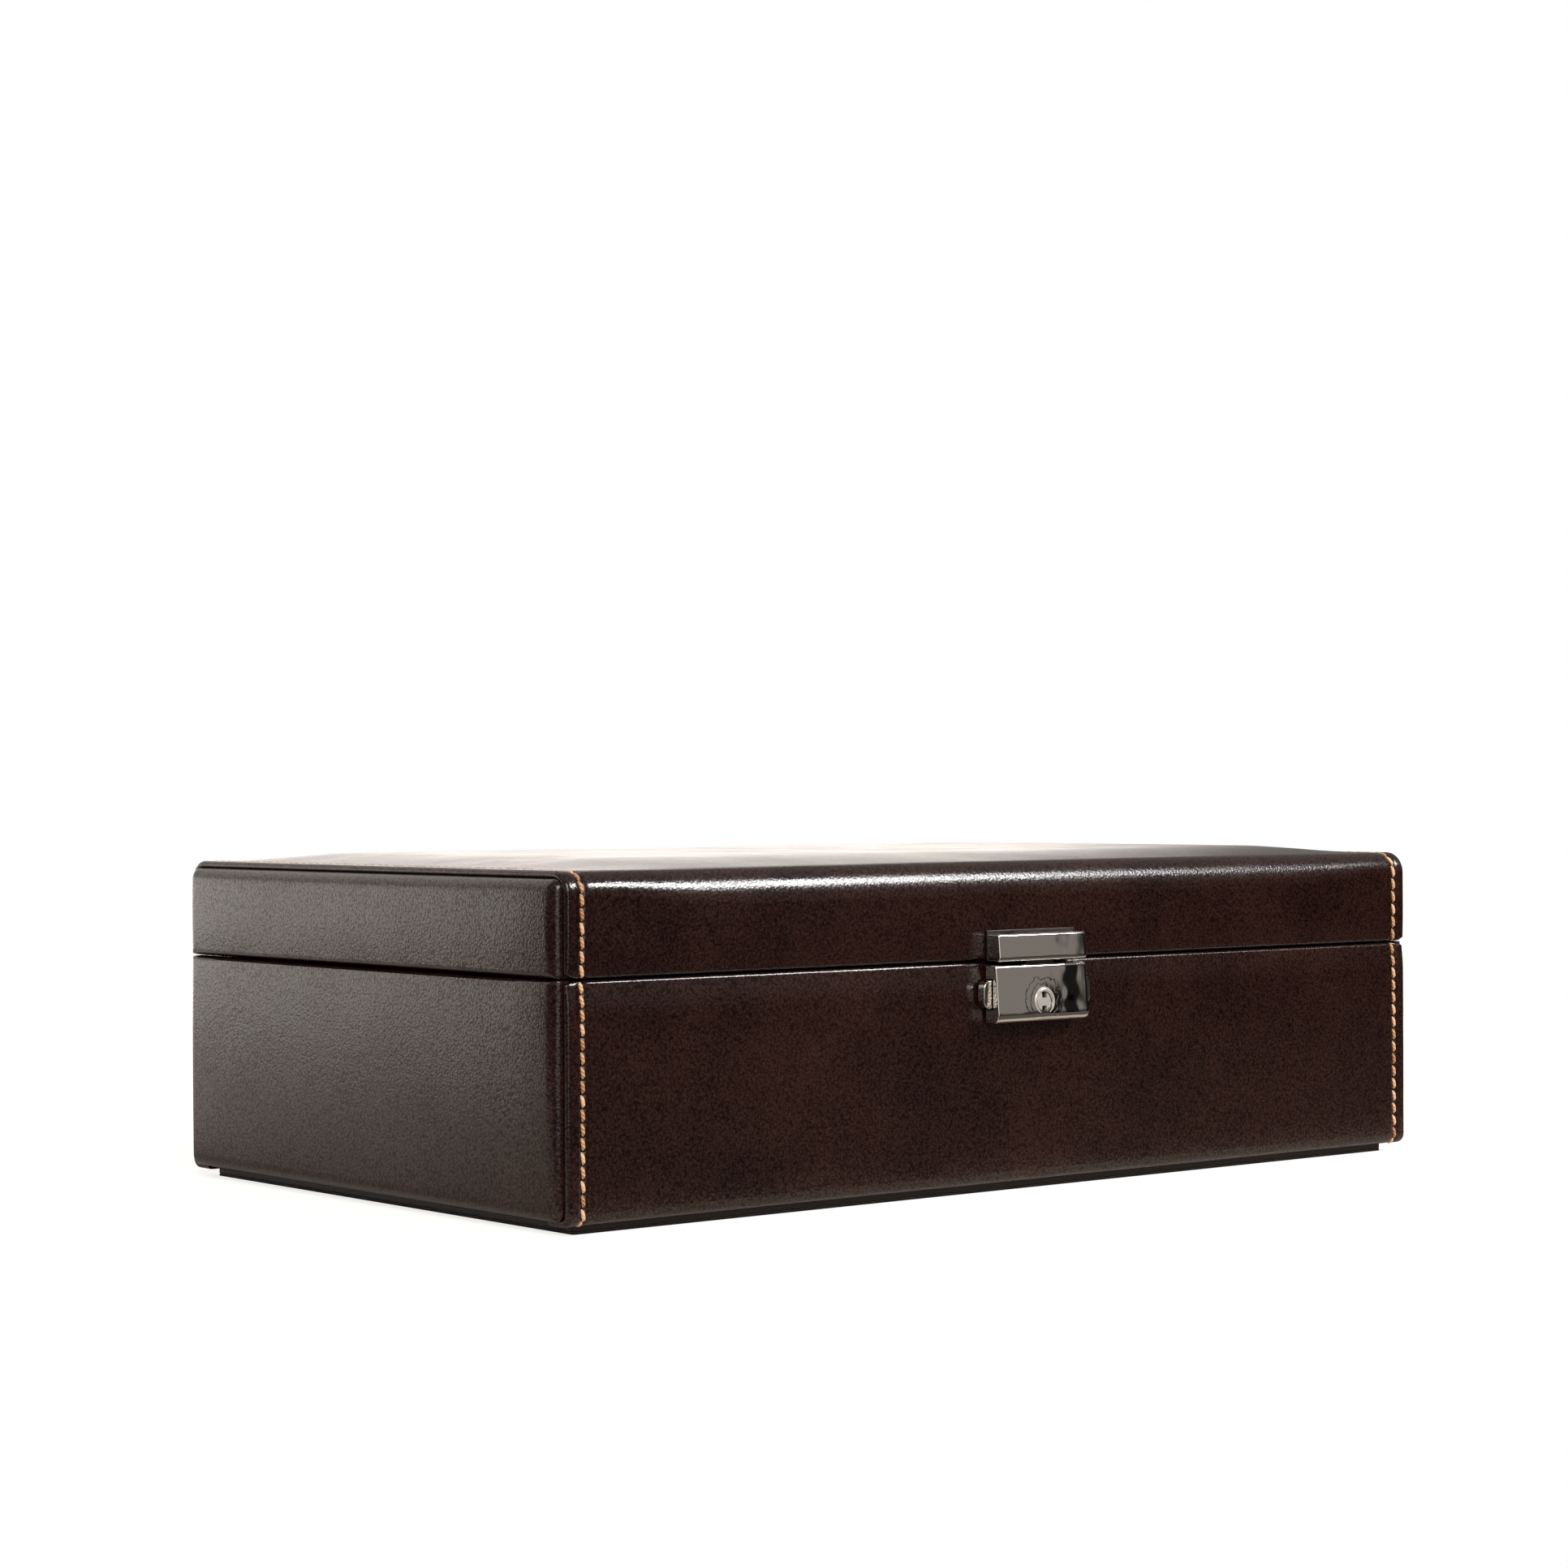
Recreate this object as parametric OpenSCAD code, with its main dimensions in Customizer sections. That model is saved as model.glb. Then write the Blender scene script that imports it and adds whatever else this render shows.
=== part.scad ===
// Leatherette display box for eight pocket watches, with a hinged padded lid and a keyed case lock.
// Millimetres, +Z up, front towards -Y, origin on the resting face under the middle of the case.

/* [Case] */
// Width over the stitched hems of the wraps
case_w = 300; // [260:1:360]
// Depth over the front and rear wraps
case_d = 178; // [160:1:220]
// Height of the base above its plinth
base_h = 58.2; // [54:0.2:72]
// Height of the lid at its stitched edges
lid_h = 25.2; // [23:0.2:36]
// Gap between lid and base all round
rim_gap = 1.2; // [1:0.1:1.8]
// Rise of the padded lid top above its edges
lid_crown = 2.2; // [0.8:0.2:4]
// Distance over which the padded lid top rises
crown_run = 30; // [15:1:50]

/* [Boards] */
// Thickness of the base's wall boards
board_t = 7; // [6:0.5:9]
// Clearance between the lid's wall boards and the lining that stands up inside them
lip_gap = 1; // [0.8:0.1:1.5]
// Thickness of the floor board
floor_t = 4; // [3:0.5:6]
// Thickness of the lid's top board
lid_top_t = 4; // [3:0.5:5]

/* [Covering] */
// Thickness of the leatherette wrap with its foam backing
wrap_t = 1.6; // [1.2:0.1:2.4]
// How far the stitched hem stands past the ends of the boards
hem_lip = 2; // [1:0.1:3]
// Outer radius of the lid's wrap along its long top edges
wrap_r = 6; // [3:0.5:7]
// Outer radius of the base's wrap along its long lower edges
foot_r = 3; // [2:0.5:5]
// Rounding of the rims where lid and base meet
rim_r = 1.2; // [0.6:0.1:1.6]
// Thickness of the leatherette turned in over a rim
turn_in_t = 0.8; // [0.6:0.1:1.2]
// Distance from the hem's edge to its stitch line
stitch_inset = 4.5; // [3:0.5:8]
// How far a padded end cover swells past the hem
cover_swell = 2; // [0.4:0.1:3]
// Distance over which an end cover swells
cover_run = 4; // [2:0.5:10]
// Gap between an end cover and the hem round it
cover_gap = 0.4; // [0.2:0.1:0.8]
// Corner radius of the lid's end covers
cover_r = 3; // [2:0.5:6]

/* [Plinth] */
// Thickness of the plinth board
plinth_t = 1.8; // [1:0.2:4]
// Thickness of the felt under the plinth
felt_t = 0.6; // [0.4:0.1:1.5]
// How far the plinth stands back from the wraps
plinth_inset = 5; // [2:0.5:12]

/* [Lining] */
// Thickness of the velvet covered lining strips
lining_t = 1.5; // [1:0.1:2.5]
// How far the lining stands above the rim, into the lid
lip_h = 4; // [2:0.5:5]
// Thickness of the velvet on the lid's inner walls
lid_velvet_t = 0.6; // [0.4:0.1:0.8]
// Gap between the lining's lip and what the lid holds above it
lip_clear = 1.4; // [0.8:0.1:3]
// Thickness of the lid cushion at its edges
cushion_edge_t = 3; // [2:0.5:4]
// Crown of the lid cushion
cushion_crown = 3.5; // [1:0.5:4]

/* [Compartments] */
// Thickness of a velvet covered divider
divider_t = 2.4; // [1.6:0.2:4]
// Distance from the rim down to the dividers' top edge
divider_drop = 3.6; // [2:0.2:8]
// Distance from the rim down to the watch pads
pad_drop = 10.6; // [9:0.2:16]
// Gap round a watch pad in its compartment
pad_gap = 0.3; // [0.2:0.1:0.6]
// Radius of the well for a watch case
well_r = 26; // [20:0.5:27]
// Depth of the well
well_depth = 10; // [6:0.5:14]
// Width of the slot for the crown and bow
bow_w = 18; // [12:0.5:24]
// Pad left in front of the well and behind the slot
well_margin = 5.5; // [4:0.5:7]

/* [Lock] */
// Width of the lock case
lock_w = 32.8; // [30:0.2:38]
// Height of the lock case
lock_h = 15.3; // [15:0.1:18]
// Depth of the lock case over its back plate
lock_t = 4.6; // [4.4:0.1:6]
// Thickness of the lock's and the strike's back plates
lock_plate_t = 0.8; // [0.6:0.1:1.2]
// Wall of the lock case
lock_wall = 0.8; // [0.6:0.1:1]
// Distance from the base's rim down to the lock case
lock_drop = 0.5; // [0.3:0.1:1]
// Radius of the key plug
plug_r = 2.55; // [2:0.05:2.6]
// Running clearance round the key plug
plug_clear = 0.05; // [0.03:0.01:0.1]
// Height of a push tab
tab_h = 7.5; // [6.6:0.1:7.9]
// Thickness of a push tab
tab_t = 3.1; // [2.4:0.1:3.2]
// Travel of a push tab
tab_travel = 2; // [1.4:0.1:2.2]
// How far a pressed tab still stands out of the lock case
tab_pressed_out = 0.9; // [0.4:0.1:1.5]
// Sliding clearance round a push tab
tab_clear = 0.15; // [0.1:0.05:0.25]
// Height of the strike block on the lid
strike_h = 7.1; // [6:0.1:10]
// Width of the strike tongue
tongue_w = 10; // [8:0.5:11]
// Thickness of the strike tongue
tongue_t = 1.6; // [1.2:0.1:1.8]
// Radius of the lock and strike screws
lock_screw_r = 0.7; // [0.5:0.1:0.8]

/* [Hinges] */
// Width of a hinge
hinge_w = 36; // [24:1:50]
// Distance from the wraps' hem to a hinge's middle
hinge_inset = 55; // [48:1:70]
// Thickness of a hinge leaf
leaf_t = 0.9; // [0.7:0.05:1]
// Outer radius of a hinge knuckle
knuckle_r = 1.9; // [1.7:0.1:2.4]
// Radius of a hinge pin
hinge_pin_r = 0.9; // [0.7:0.05:1.1]
// Running clearance round a hinge pin
pin_clear = 0.05; // [0.03:0.01:0.1]
// Radius of the hinge screws
hinge_screw_r = 0.9; // [0.6:0.1:1]
// Length of the hinge screws
hinge_screw_len = 9; // [6:0.5:12]

/* [Hidden] */

$fn = 48;
cut = 1;               // how far a cutter runs past the face that it opens
corner_steps = 6;      // straight runs in a quarter of a moulded corner
leather = "#2b1d1a";
velvet = "#cdb892";
board = "#b08d62";
steel = "#c9c9c6";
chrome = "#b7b6b3";

// Levels, from the floor up
base_z0 = felt_t + plinth_t;
base_z1 = base_z0 + base_h;
lid_z0 = base_z1 + rim_gap;
lid_z1 = lid_z0 + lid_h;
pivot_z = base_z1 + rim_gap / 2;
floor_z0 = base_z0 + wrap_t;
cover_z0 = floor_z0 - turn_in_t;
floor_z1 = floor_z0 + floor_t;
base_board_z1 = base_z1 - turn_in_t;
lid_board_z0 = lid_z0 + turn_in_t;
lid_board_z1 = lid_z1 - wrap_t;
lid_ceiling = lid_board_z1 - lid_top_t;
lip_z = base_z1 + lip_h;

// Half widths and half depths, from the outside in
hem_x = case_w / 2;
board_x = hem_x - hem_lip;
base_in_x = board_x - board_t;
lid_in_x = base_in_x + lip_gap;
room_x = base_in_x - lining_t;
wrap_y = case_d / 2;
board_y = wrap_y - wrap_t;
base_in_y = board_y - board_t;
lid_in_y = base_in_y + lip_gap;
room_y = base_in_y - lining_t;
board_r = max(wrap_r - wrap_t, 0.5);
foot_board_r = max(foot_r - wrap_t, 0.5);
cover_y = board_y - cover_gap;

// Compartments: the nodes name a pad for each, and a divider between two of them
columns = 4;
rows = 2;
cell_w = (2 * room_x - (columns - 1) * divider_t) / columns;
cell_d = (2 * room_y - divider_t) / rows;
divider_z1 = base_z1 - divider_drop;
pad_z1 = base_z1 - pad_drop;
divider_fit = 0.1;     // gap at a divider's ends and in its lap joints
strip_fit = 0.1;       // gap between two lining strips at a corner
well_y = -cell_d / 2 + pad_gap + well_margin + well_r;
bow_end_y = cell_d / 2 - pad_gap - well_margin;
bow_corner_r = bow_w / 3;

// Lock, placed from the front wrap's face outwards
lock_z1 = base_z1 - lock_drop;
lock_z0 = lock_z1 - lock_h;
lock_in_z0 = lock_z0 + lock_wall;
lock_in_z1 = lock_z1 - lock_wall;
lock_face = lock_plate_t + lock_t;
lock_in = lock_face - lock_wall;
tab_z = (lock_z0 + lock_z1) / 2;
tab_d0 = (lock_plate_t + lock_in - tab_t) / 2;
tab_d1 = tab_d0 + tab_t;
tab_x1 = lock_w / 2 + tab_travel + tab_pressed_out;
tab_len = 10.3;        // from a push tab's outer end in to the slab that its spring bears on
tab_knob_len = 6.3;    // from its outer end in to the back of its knob
tab_knob_r = 2.4;      // round corners of the knob
tab_flange_t = 1.2;    // stop flange inside the case's wall
tab_flange_h = 0.55;
tab_slab_x0 = tab_x1 - tab_len;
tab_knob_x0 = tab_x1 - tab_knob_len;
tab_stop_x = lock_w / 2 - lock_wall - tab_clear;
key_drop = 2.35;       // from the middle of the lock case down to the keyhole
key_z = tab_z - key_drop;
plug_bore_r = plug_r + plug_clear;
tube_wall = 0.7;       // wall of the tube that the plug turns in
plug_tube_r = plug_bore_r + tube_wall;
cam_gap = 0.15;        // between the back plate and the plug's cam
cam_t = 0.5;
plug_d0 = lock_plate_t + cam_gap + cam_t + 0.1;
boss_out = 0.6;        // how far the ring round the keyhole stands out
boss_w = 0.95;         // width of that ring
plug_sink = 0.35;      // depth of the plug's face in that ring
arm_gap = 0.15;        // between the plug's tube and the catch arms over it
arm_z0 = key_z + plug_tube_r + arm_gap;
arm_h = 1.3;           // height of a catch arm
arm_play = 0.5;        // between the two arms, one before the other
arm_t = (tab_t - arm_play) / 2;
catch_gap = 0.5;       // between a catch and the strike tongue
hook_x = tongue_w / 2 + catch_gap;
hook_w = 1.5;          // width of a catch
hook_h = 3.1;          // height of a catch, its arm included
tongue_gap = 0.4;      // between the arms and the tongue over them
tongue_z0 = arm_z0 + arm_h + tongue_gap;
tongue_d = lock_plate_t + lock_t / 2 - tongue_t / 2;
tongue_play = 0.6;     // slack round the tongue in the lock case's slot
strike_gap = 0.9;      // between the lock case and the strike block above it
strike_z0 = lock_z1 + strike_gap;
strike_z1 = strike_z0 + strike_h;
tongue_root = 3;       // how deep the tongue is let into the strike block
strike_half_w = lock_w / 2 - 0.7;    // the strike is a little narrower than the lock
plate_half_w = lock_w / 2 - 0.65;
plate_over = 1;        // how far a back plate shows past its block
post_wall = 0.5;       // wall of a screw post
post_r = lock_screw_r + post_wall;
post_x = 9.3;
post_z = lock_in_z0 + post_r + 0.1;
post_reach = 3;        // depth of a screw in its post
strike_screw_rise = 1.3;             // screws' place above the middle of the strike block
strike_screw_z = strike_z0 + strike_h / 2 + strike_screw_rise;
screw_head_r = 2 * lock_screw_r;
screw_head_t = lock_screw_r;

// Hinges
hinge_x = hem_x - hinge_inset;
pivot_y = wrap_y + knuckle_r - 0.1;
pin_bore_r = hinge_pin_r + pin_clear;
knuckles = 5;
knuckle_len = hinge_w / knuckles;
knuckle_gap = 0.15;
leaf_z1 = max(leaf_t + 0.1, rim_gap / 2 + 0.1);   // level of a leaf's bed, from the pivot
leaf_z0 = leaf_z1 - leaf_t;
leaf_y0 = lid_in_y + 0.3;
leaf_fit = 0.2;
hinge_screw_x = hinge_w / 3;
hinge_screw_y = (leaf_y0 + board_y) / 2;
hinge_head_r = 1.9 * hinge_screw_r;
pin_head_t = 0.6;
pin_head_r = knuckle_r - 0.4;
swing_clear = knuckle_r + 0.25;

// ---- shapes ----

function arc(c, r, a0, a1) = r <= 0 ? [c] :
    [for (i = [0:corner_steps]) c + r * [cos(a0 + (a1 - a0) * i / corner_steps),
                                         sin(a0 + (a1 - a0) * i / corner_steps)]];

// Rectangle between two corners, with its own radius at each corner, anticlockwise from the low left.
function round_rect(lo, hi, r) = concat(
    arc(lo + [r[0], r[0]], r[0], 180, 270),
    arc([hi.x - r[1], lo.y + r[1]], r[1], 270, 360),
    arc(hi - [r[2], r[2]], r[2], 0, 90),
    arc([lo.x + r[3], hi.y - r[3]], r[3], 90, 180));

// Smooth rise of padding from a held edge to its full height.
function padded(t, edge, run) = sin(90 * min(max((edge - abs(t)) / run, 0), 1));

fine_steps = 8;        // straight runs in the lid's rise and the cushion's
cover_steps = 5;

// Points of a padded curve from +edge to -edge, at a height above z.
function crown_curve(z, edge, run, rise, n = fine_steps) = concat(
    [for (i = [0:n]) let (t = edge - run * i / n) [t, z + rise * padded(t, edge, run)]],
    [for (i = [0:n]) let (t = -edge + run * (1 - i / n)) [t, z + rise * padded(t, edge, run)]]);

module along_x(length) rotate([90, 0, 90]) linear_extrude(length, center = true) children();
module along_y(length) rotate([90, 0, 0]) linear_extrude(length, center = true) children();
module slab(lo, hi) translate(lo) cube(hi - lo);

// Block on the front face: x and z as they are, d measured outwards from the wrap.
module front_slab(x, d, z) slab([x[0], -wrap_y - d[1], z[0]], [x[1], -wrap_y - d[0], z[1]]);

// Rod on the front face, pointing outwards from depth d0 to d1.
module front_rod(x, z, d0, d1, r1, r2) translate([x, -wrap_y - d0, z]) rotate([90, 0, 0])
    cylinder(h = d1 - d0, r1 = r1, r2 = r2);

module mirrored_x(side) mirror([side < 0 ? 1 : 0, 0, 0]) children();

// ---- plinth and base boards ----

module plinth_layer(z0, z1) linear_extrude(z1 - z0) polygon(round_rect(
    [plinth_inset - hem_x, plinth_inset - wrap_y], [hem_x - plinth_inset, wrap_y - plinth_inset],
    [1, 1, 1, 1]));

module plinth_felt() color("#241b19") plinth_layer(0, felt_t);

module plinth_board() color("#2a1c17") translate([0, 0, felt_t]) plinth_layer(felt_t, base_z0);

module base_floor_board() color(board)
    slab([-base_in_x, -base_in_y, floor_z0], [base_in_x, base_in_y, floor_z1]);

module base_long_board(inner_y) along_x(2 * board_x)
    polygon(round_rect([inner_y, floor_z0], [board_y, base_board_z1], [0, foot_board_r, 0, 0]));

module base_front_board() color(board) difference() {
    mirror([0, 1, 0]) base_long_board(base_in_y);
    lock_screw_holes(post_z);
}

module base_rear_board() color(board) difference() {
    base_long_board(base_in_y);
    hinge_screw_holes(-1);
}

module base_end_board() slab([base_in_x, -base_in_y, floor_z0], [board_x, base_in_y, base_board_z1]);

module base_left_board() color(board) mirrored_x(-1) base_end_board();
module base_right_board() color(board) base_end_board();

// ---- leatherette of the base ----

// Under the base it stops short of the ends, where the end covers are turned in.
module base_wrap() color(leather) difference() {
    along_x(case_w) polygon(round_rect([-wrap_y, base_z0], [wrap_y, base_z1],
        [foot_r, foot_r, rim_r, rim_r]));
    along_x(case_w + 2 * cut) polygon(round_rect([-board_y, floor_z0], [board_y, base_board_z1],
        [foot_board_r, foot_board_r, 0, 0]));
    for (s = [-1, 1]) mirrored_x(s) {
        slab([base_in_x, -base_in_y, base_z0 - cut], [hem_x + cut, base_in_y, floor_z0 + cut]);
        slab([board_x, -board_y, cover_z0], [hem_x + cut, board_y, floor_z0 + cut]);
    }
    slab([-hem_x - cut, -base_in_y, base_board_z1 - cut], [hem_x + cut, base_in_y, base_z1 + cut]);
    for (s = [-1, 1]) mirrored_x(s)
        slab([board_x, -board_y, base_board_z1 - cut], [hem_x + cut, board_y, base_z1 + cut]);
    hinge_seat(base_z1, -1);
    hinge_screw_holes(-1);
    lock_screw_holes(post_z);
}

// End cover: a panel that swells past the hem, with a flange turned in over the board's edge.
module end_cover(z0, z1, low_r, high_r, in_x, in_y, flange_z) {
    mid_z = (z0 + z1) / 2;
    half_z = (z1 - z0) / 2;
    intersection() {
        translate([(board_x + hem_x + cover_swell) / 2, 0, 0]) along_x(hem_lip + cover_swell)
            polygon(round_rect([-cover_y, z0], [cover_y, z1], [low_r, low_r, high_r, high_r]));
        translate([0, 0, mid_z]) linear_extrude(2 * half_z + 2 * cut, center = true)
            polygon(swelling(cover_y));
        along_y(2 * wrap_y) translate([0, mid_z]) polygon(swelling(half_z));
    }
    slab([in_x, -in_y, flange_z], [hem_x, in_y, flange_z + turn_in_t]);
}

// Section of an end cover, from within the boards out to its padded face.
function swelling(edge) = concat([[board_x - cut, edge], [board_x - cut, -edge]],
    [for (p = crown_curve(hem_x, edge, cover_run, cover_swell, cover_steps)) [p.y, -p.x]]);

module base_cover() color(leather) {
    end_cover(cover_z0, base_z1, max(foot_r - cover_gap, 0.5), rim_r, base_in_x, base_in_y, base_board_z1);
    slab([base_in_x, -base_in_y, cover_z0], [hem_x, base_in_y, floor_z0]);
}

module base_left_cover() mirrored_x(-1) base_cover();
module base_right_cover() base_cover();

// ---- lining and compartments ----

// Four velvet covered strips that stand round a room, the end ones between the long ones.
module wall_strips(in_x, in_y, t, z0, z1) for (s = [-1, 1]) {
    mirror([0, s < 0 ? 1 : 0, 0]) slab([-in_x, in_y - t, z0], [in_x, in_y, z1]);
    mirrored_x(s) slab([in_x - t, t + strip_fit - in_y, z0], [in_x, in_y - t - strip_fit, z1]);
}

module base_lining() color(velvet) wall_strips(base_in_x, base_in_y, lining_t, floor_z1, lip_z);

divider_lap_z = (floor_z1 + divider_z1) / 2;

function divider_x(i) = (i - columns / 2) * (cell_w + divider_t);

module long_divider() color(velvet) difference() {
    slab([divider_fit - room_x, -divider_t / 2, floor_z1],
        [room_x - divider_fit, divider_t / 2, divider_z1]);
    for (i = [1:columns - 1]) translate([divider_x(i), 0, 0])
        slab([-divider_t / 2 - divider_fit, -divider_t, divider_lap_z],
            [divider_t / 2 + divider_fit, divider_t, divider_z1 + cut]);
}

module cross_divider(i) color(velvet) translate([divider_x(i), 0, 0]) difference() {
    slab([-divider_t / 2, divider_fit - room_y, floor_z1],
        [divider_t / 2, room_y - divider_fit, divider_z1]);
    slab([-divider_t, -divider_t / 2 - divider_fit, floor_z1 - cut],
        [divider_t, divider_t / 2 + divider_fit, divider_lap_z]);
}

// Foam pad with a well for a watch case and a slot behind it for the crown and bow.
module watch_pad(i) color(velvet) {
    column = (i - 1) % columns;
    row = floor((i - 1) / columns);
    pad_x = cell_w / 2 - pad_gap;
    pad_y = cell_d / 2 - pad_gap;
    translate([(column - (columns - 1) / 2) * (cell_w + divider_t),
        (row - (rows - 1) / 2) * (cell_d + divider_t), 0]) difference() {
        slab([-pad_x, -pad_y, floor_z1], [pad_x, pad_y, pad_z1]);
        translate([0, well_y, pad_z1 - well_depth]) cylinder(h = well_depth + cut, r = well_r);
        translate([0, 0, pad_z1 - well_depth]) linear_extrude(well_depth + cut)
            polygon(round_rect([-bow_w / 2, well_y], [bow_w / 2, bow_end_y],
                [0, 0, bow_corner_r, bow_corner_r]));
    }
}

// ---- lock on the base ----

module lock_screw_holes(z) for (s = [-1, 1]) {
    front_rod(s * post_x, z, -wrap_y, post_reach + lock_face, lock_screw_r, lock_screw_r);
    front_rod(s * post_x, z, -wrap_y, base_in_y - wrap_y + screw_head_t, screw_head_r, screw_head_r);
}

module screw_pair(z, inner_y) for (s = [-1, 1]) {
    front_rod(s * post_x, z, inner_y - wrap_y, lock_plate_t + post_reach, lock_screw_r, lock_screw_r);
    front_rod(s * post_x, z, inner_y - wrap_y, inner_y - wrap_y + screw_head_t,
        screw_head_r, screw_head_r);
}

module lock_screws() color(steel) screw_pair(post_z, base_in_y);

module lock_back_plate() color(steel) difference() {
    front_slab([-plate_half_w, plate_half_w], [0, lock_plate_t], [lock_z0 - plate_over, lock_z1]);
    lock_screw_holes(post_z);
}

// Side profile of a block on the front face: flat at the back, rounded above and below in front.
module front_block(half_w, d, z, low_r, high_r) along_x(2 * half_w)
    polygon(round_rect([-wrap_y - d[1], z[0]], [-wrap_y - d[0], z[1]], [low_r, 0, 0, high_r]));

module lock_case() color(chrome) difference() {
    union() {
        difference() {
            front_block(lock_w / 2, [lock_plate_t, lock_face], [lock_z0, lock_z1], 2, 1.1);
            front_slab([lock_wall - lock_w / 2, lock_w / 2 - lock_wall],
                [lock_plate_t - cut, lock_in], [lock_in_z0, lock_in_z1]);
            front_slab([-tongue_w / 2 - tongue_play, tongue_w / 2 + tongue_play],
                [tongue_d - tongue_play, tongue_d + tongue_t + tongue_play],
                [lock_in_z1 - cut, lock_z1 + cut]);
            for (s = [-1, 1]) mirrored_x(s) front_slab([lock_w / 2 - lock_wall - cut, lock_w / 2 + cut],
                [tab_d0 - tab_clear, tab_d1 + tab_clear],
                [tab_z - tab_h / 2 - tab_clear, tab_z + tab_h / 2 + tab_clear]);
        }
        front_rod(0, key_z, plug_d0, lock_in + lock_wall / 2, plug_tube_r, plug_tube_r);
        front_rod(0, key_z, lock_face - lock_wall / 2, lock_face + boss_out,
            plug_bore_r + boss_w, plug_bore_r + boss_w);
        for (s = [-1, 1]) front_rod(s * post_x, post_z, lock_plate_t, lock_in + lock_wall / 2,
            post_r, post_r);
    }
    front_rod(0, key_z, 0, lock_face + boss_out + cut, plug_bore_r, plug_bore_r);
    for (s = [-1, 1]) front_rod(s * post_x, post_z, 0, lock_plate_t + post_reach,
        lock_screw_r, lock_screw_r);
}

// Plug with two notches for the key's prongs, and a cam behind it.
module key_plug() color(chrome) {
    notch_w = 1.7;
    notch_h = 1.5;
    notch_depth = 3;
    cam_d = lock_plate_t + cam_gap;
    face = lock_face + boss_out - plug_sink;
    difference() {
        front_rod(0, key_z, cam_d, face, plug_r, plug_r);
        for (s = [-1, 1]) front_slab([-notch_w / 2, notch_w / 2], [face - notch_depth, face + cut],
            [key_z + (s < 0 ? -plug_r - cut : plug_r - notch_h),
             key_z + (s < 0 ? notch_h - plug_r : plug_r + cut)]);
    }
    front_slab([-1, 1], [cam_d, cam_d + cam_t], [key_z - plug_r - 1, key_z]);
}

// Push tab: a round ended knob outside, a stop flange inside, and an arm to its catch past the middle.
module push_tab(arm_d0) {
    arm_d1 = arm_d0 + arm_t;
    half_h = tab_h / 2;
    translate([0, -wrap_y - (tab_d0 + tab_d1) / 2, 0]) along_y(tab_t) polygon(round_rect(
        [tab_knob_x0, tab_z - half_h], [tab_x1, tab_z + half_h], [0, tab_knob_r, tab_knob_r, 0]));
    front_slab([tab_stop_x - tab_flange_t, tab_stop_x], [tab_d0, tab_d1],
        [tab_z - half_h - tab_flange_h, tab_z + half_h + tab_flange_h]);
    front_slab([tab_slab_x0, tab_stop_x], [tab_d0, tab_d1], [tab_z - half_h, arm_z0 - tongue_gap]);
    front_slab([-hook_x - hook_w, tab_stop_x], [arm_d0, arm_d1], [arm_z0, arm_z0 + arm_h]);
    front_slab([-hook_x - hook_w, -hook_x], [arm_d0, arm_d1], [arm_z0, arm_z0 + hook_h]);
}

module push_tab_left() color(chrome) mirrored_x(-1) push_tab(tab_d0);
module push_tab_right() color(chrome) push_tab(tab_d1 - arm_t);

// Compression spring between the plug's tube and a push tab, wound as one closed tube.
module tab_spring(side) {
    wire_r = 0.17;
    coil_r = 0.85;
    turns = 5;
    rings = 8;
    sides = 6;
    x0 = plug_tube_r + 0.02;
    x1 = tab_slab_x0 - 0.02;
    steps = turns * rings;
    spring_d = (tab_d0 + tab_d1) / 2;
    lead = (x1 - x0 - 2 * wire_r) / steps;
    points = [for (i = [0:steps]) let (a = 360 * i / rings) for (j = [0:sides - 1])
        let (b = 360 * j / sides, r = coil_r + wire_r * cos(b))
        [x0 + wire_r + lead * i + wire_r * sin(b), -wrap_y - spring_d + r * cos(a), key_z + r * sin(a)]];
    walls = [for (i = [0:steps - 1]) for (j = [0:sides - 1]) let (k = (j + 1) % sides)
        each [[i * sides + j, i * sides + k, (i + 1) * sides + k],
              [i * sides + j, (i + 1) * sides + k, (i + 1) * sides + j]]];
    ends = [for (j = [1:sides - 2]) each [[0, j + 1, j],
        [steps * sides, steps * sides + j, steps * sides + j + 1]]];
    mirrored_x(side) polyhedron(points, concat(walls, ends));
}

module tab_spring_left() color(steel) tab_spring(-1);
module tab_spring_right() color(steel) tab_spring(1);

// ---- strike on the lid ----

module strike_plate() color(steel) difference() {
    front_slab([-plate_half_w, plate_half_w], [0, lock_plate_t], [strike_z0, strike_z1 + plate_over]);
    strike_screw_holes();
}

module strike_screw_holes() for (s = [-1, 1]) {
    front_rod(s * post_x, strike_screw_z, -wrap_y, lock_plate_t + post_reach, lock_screw_r, lock_screw_r);
    front_rod(s * post_x, strike_screw_z, -wrap_y, lid_in_y - wrap_y + screw_head_t,
        screw_head_r, screw_head_r);
}

module strike_screws() color(steel) screw_pair(strike_screw_z, lid_in_y);

module strike_block() color(chrome) difference() {
    front_block(strike_half_w, [lock_plate_t, lock_face], [strike_z0, strike_z1], 0.9, 0.6);
    front_slab([-tongue_w / 2, tongue_w / 2], [tongue_d, tongue_d + tongue_t],
        [strike_z0 - cut, strike_z0 + tongue_root]);
    strike_screw_holes();
}

module strike_tongue() color(steel) {
    notch_w = 0.8;
    notch_h = 1.3;
    difference() {
        front_slab([-tongue_w / 2, tongue_w / 2], [tongue_d, tongue_d + tongue_t],
            [tongue_z0, strike_z0 + tongue_root]);
        for (s = [-1, 1]) mirrored_x(s) front_slab([tongue_w / 2 - notch_w, tongue_w / 2 + cut],
            [tongue_d - cut, tongue_d + tongue_t + cut], [tongue_z0 + 1.2, tongue_z0 + 1.2 + notch_h]);
    }
}

// ---- hinges ----

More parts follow.
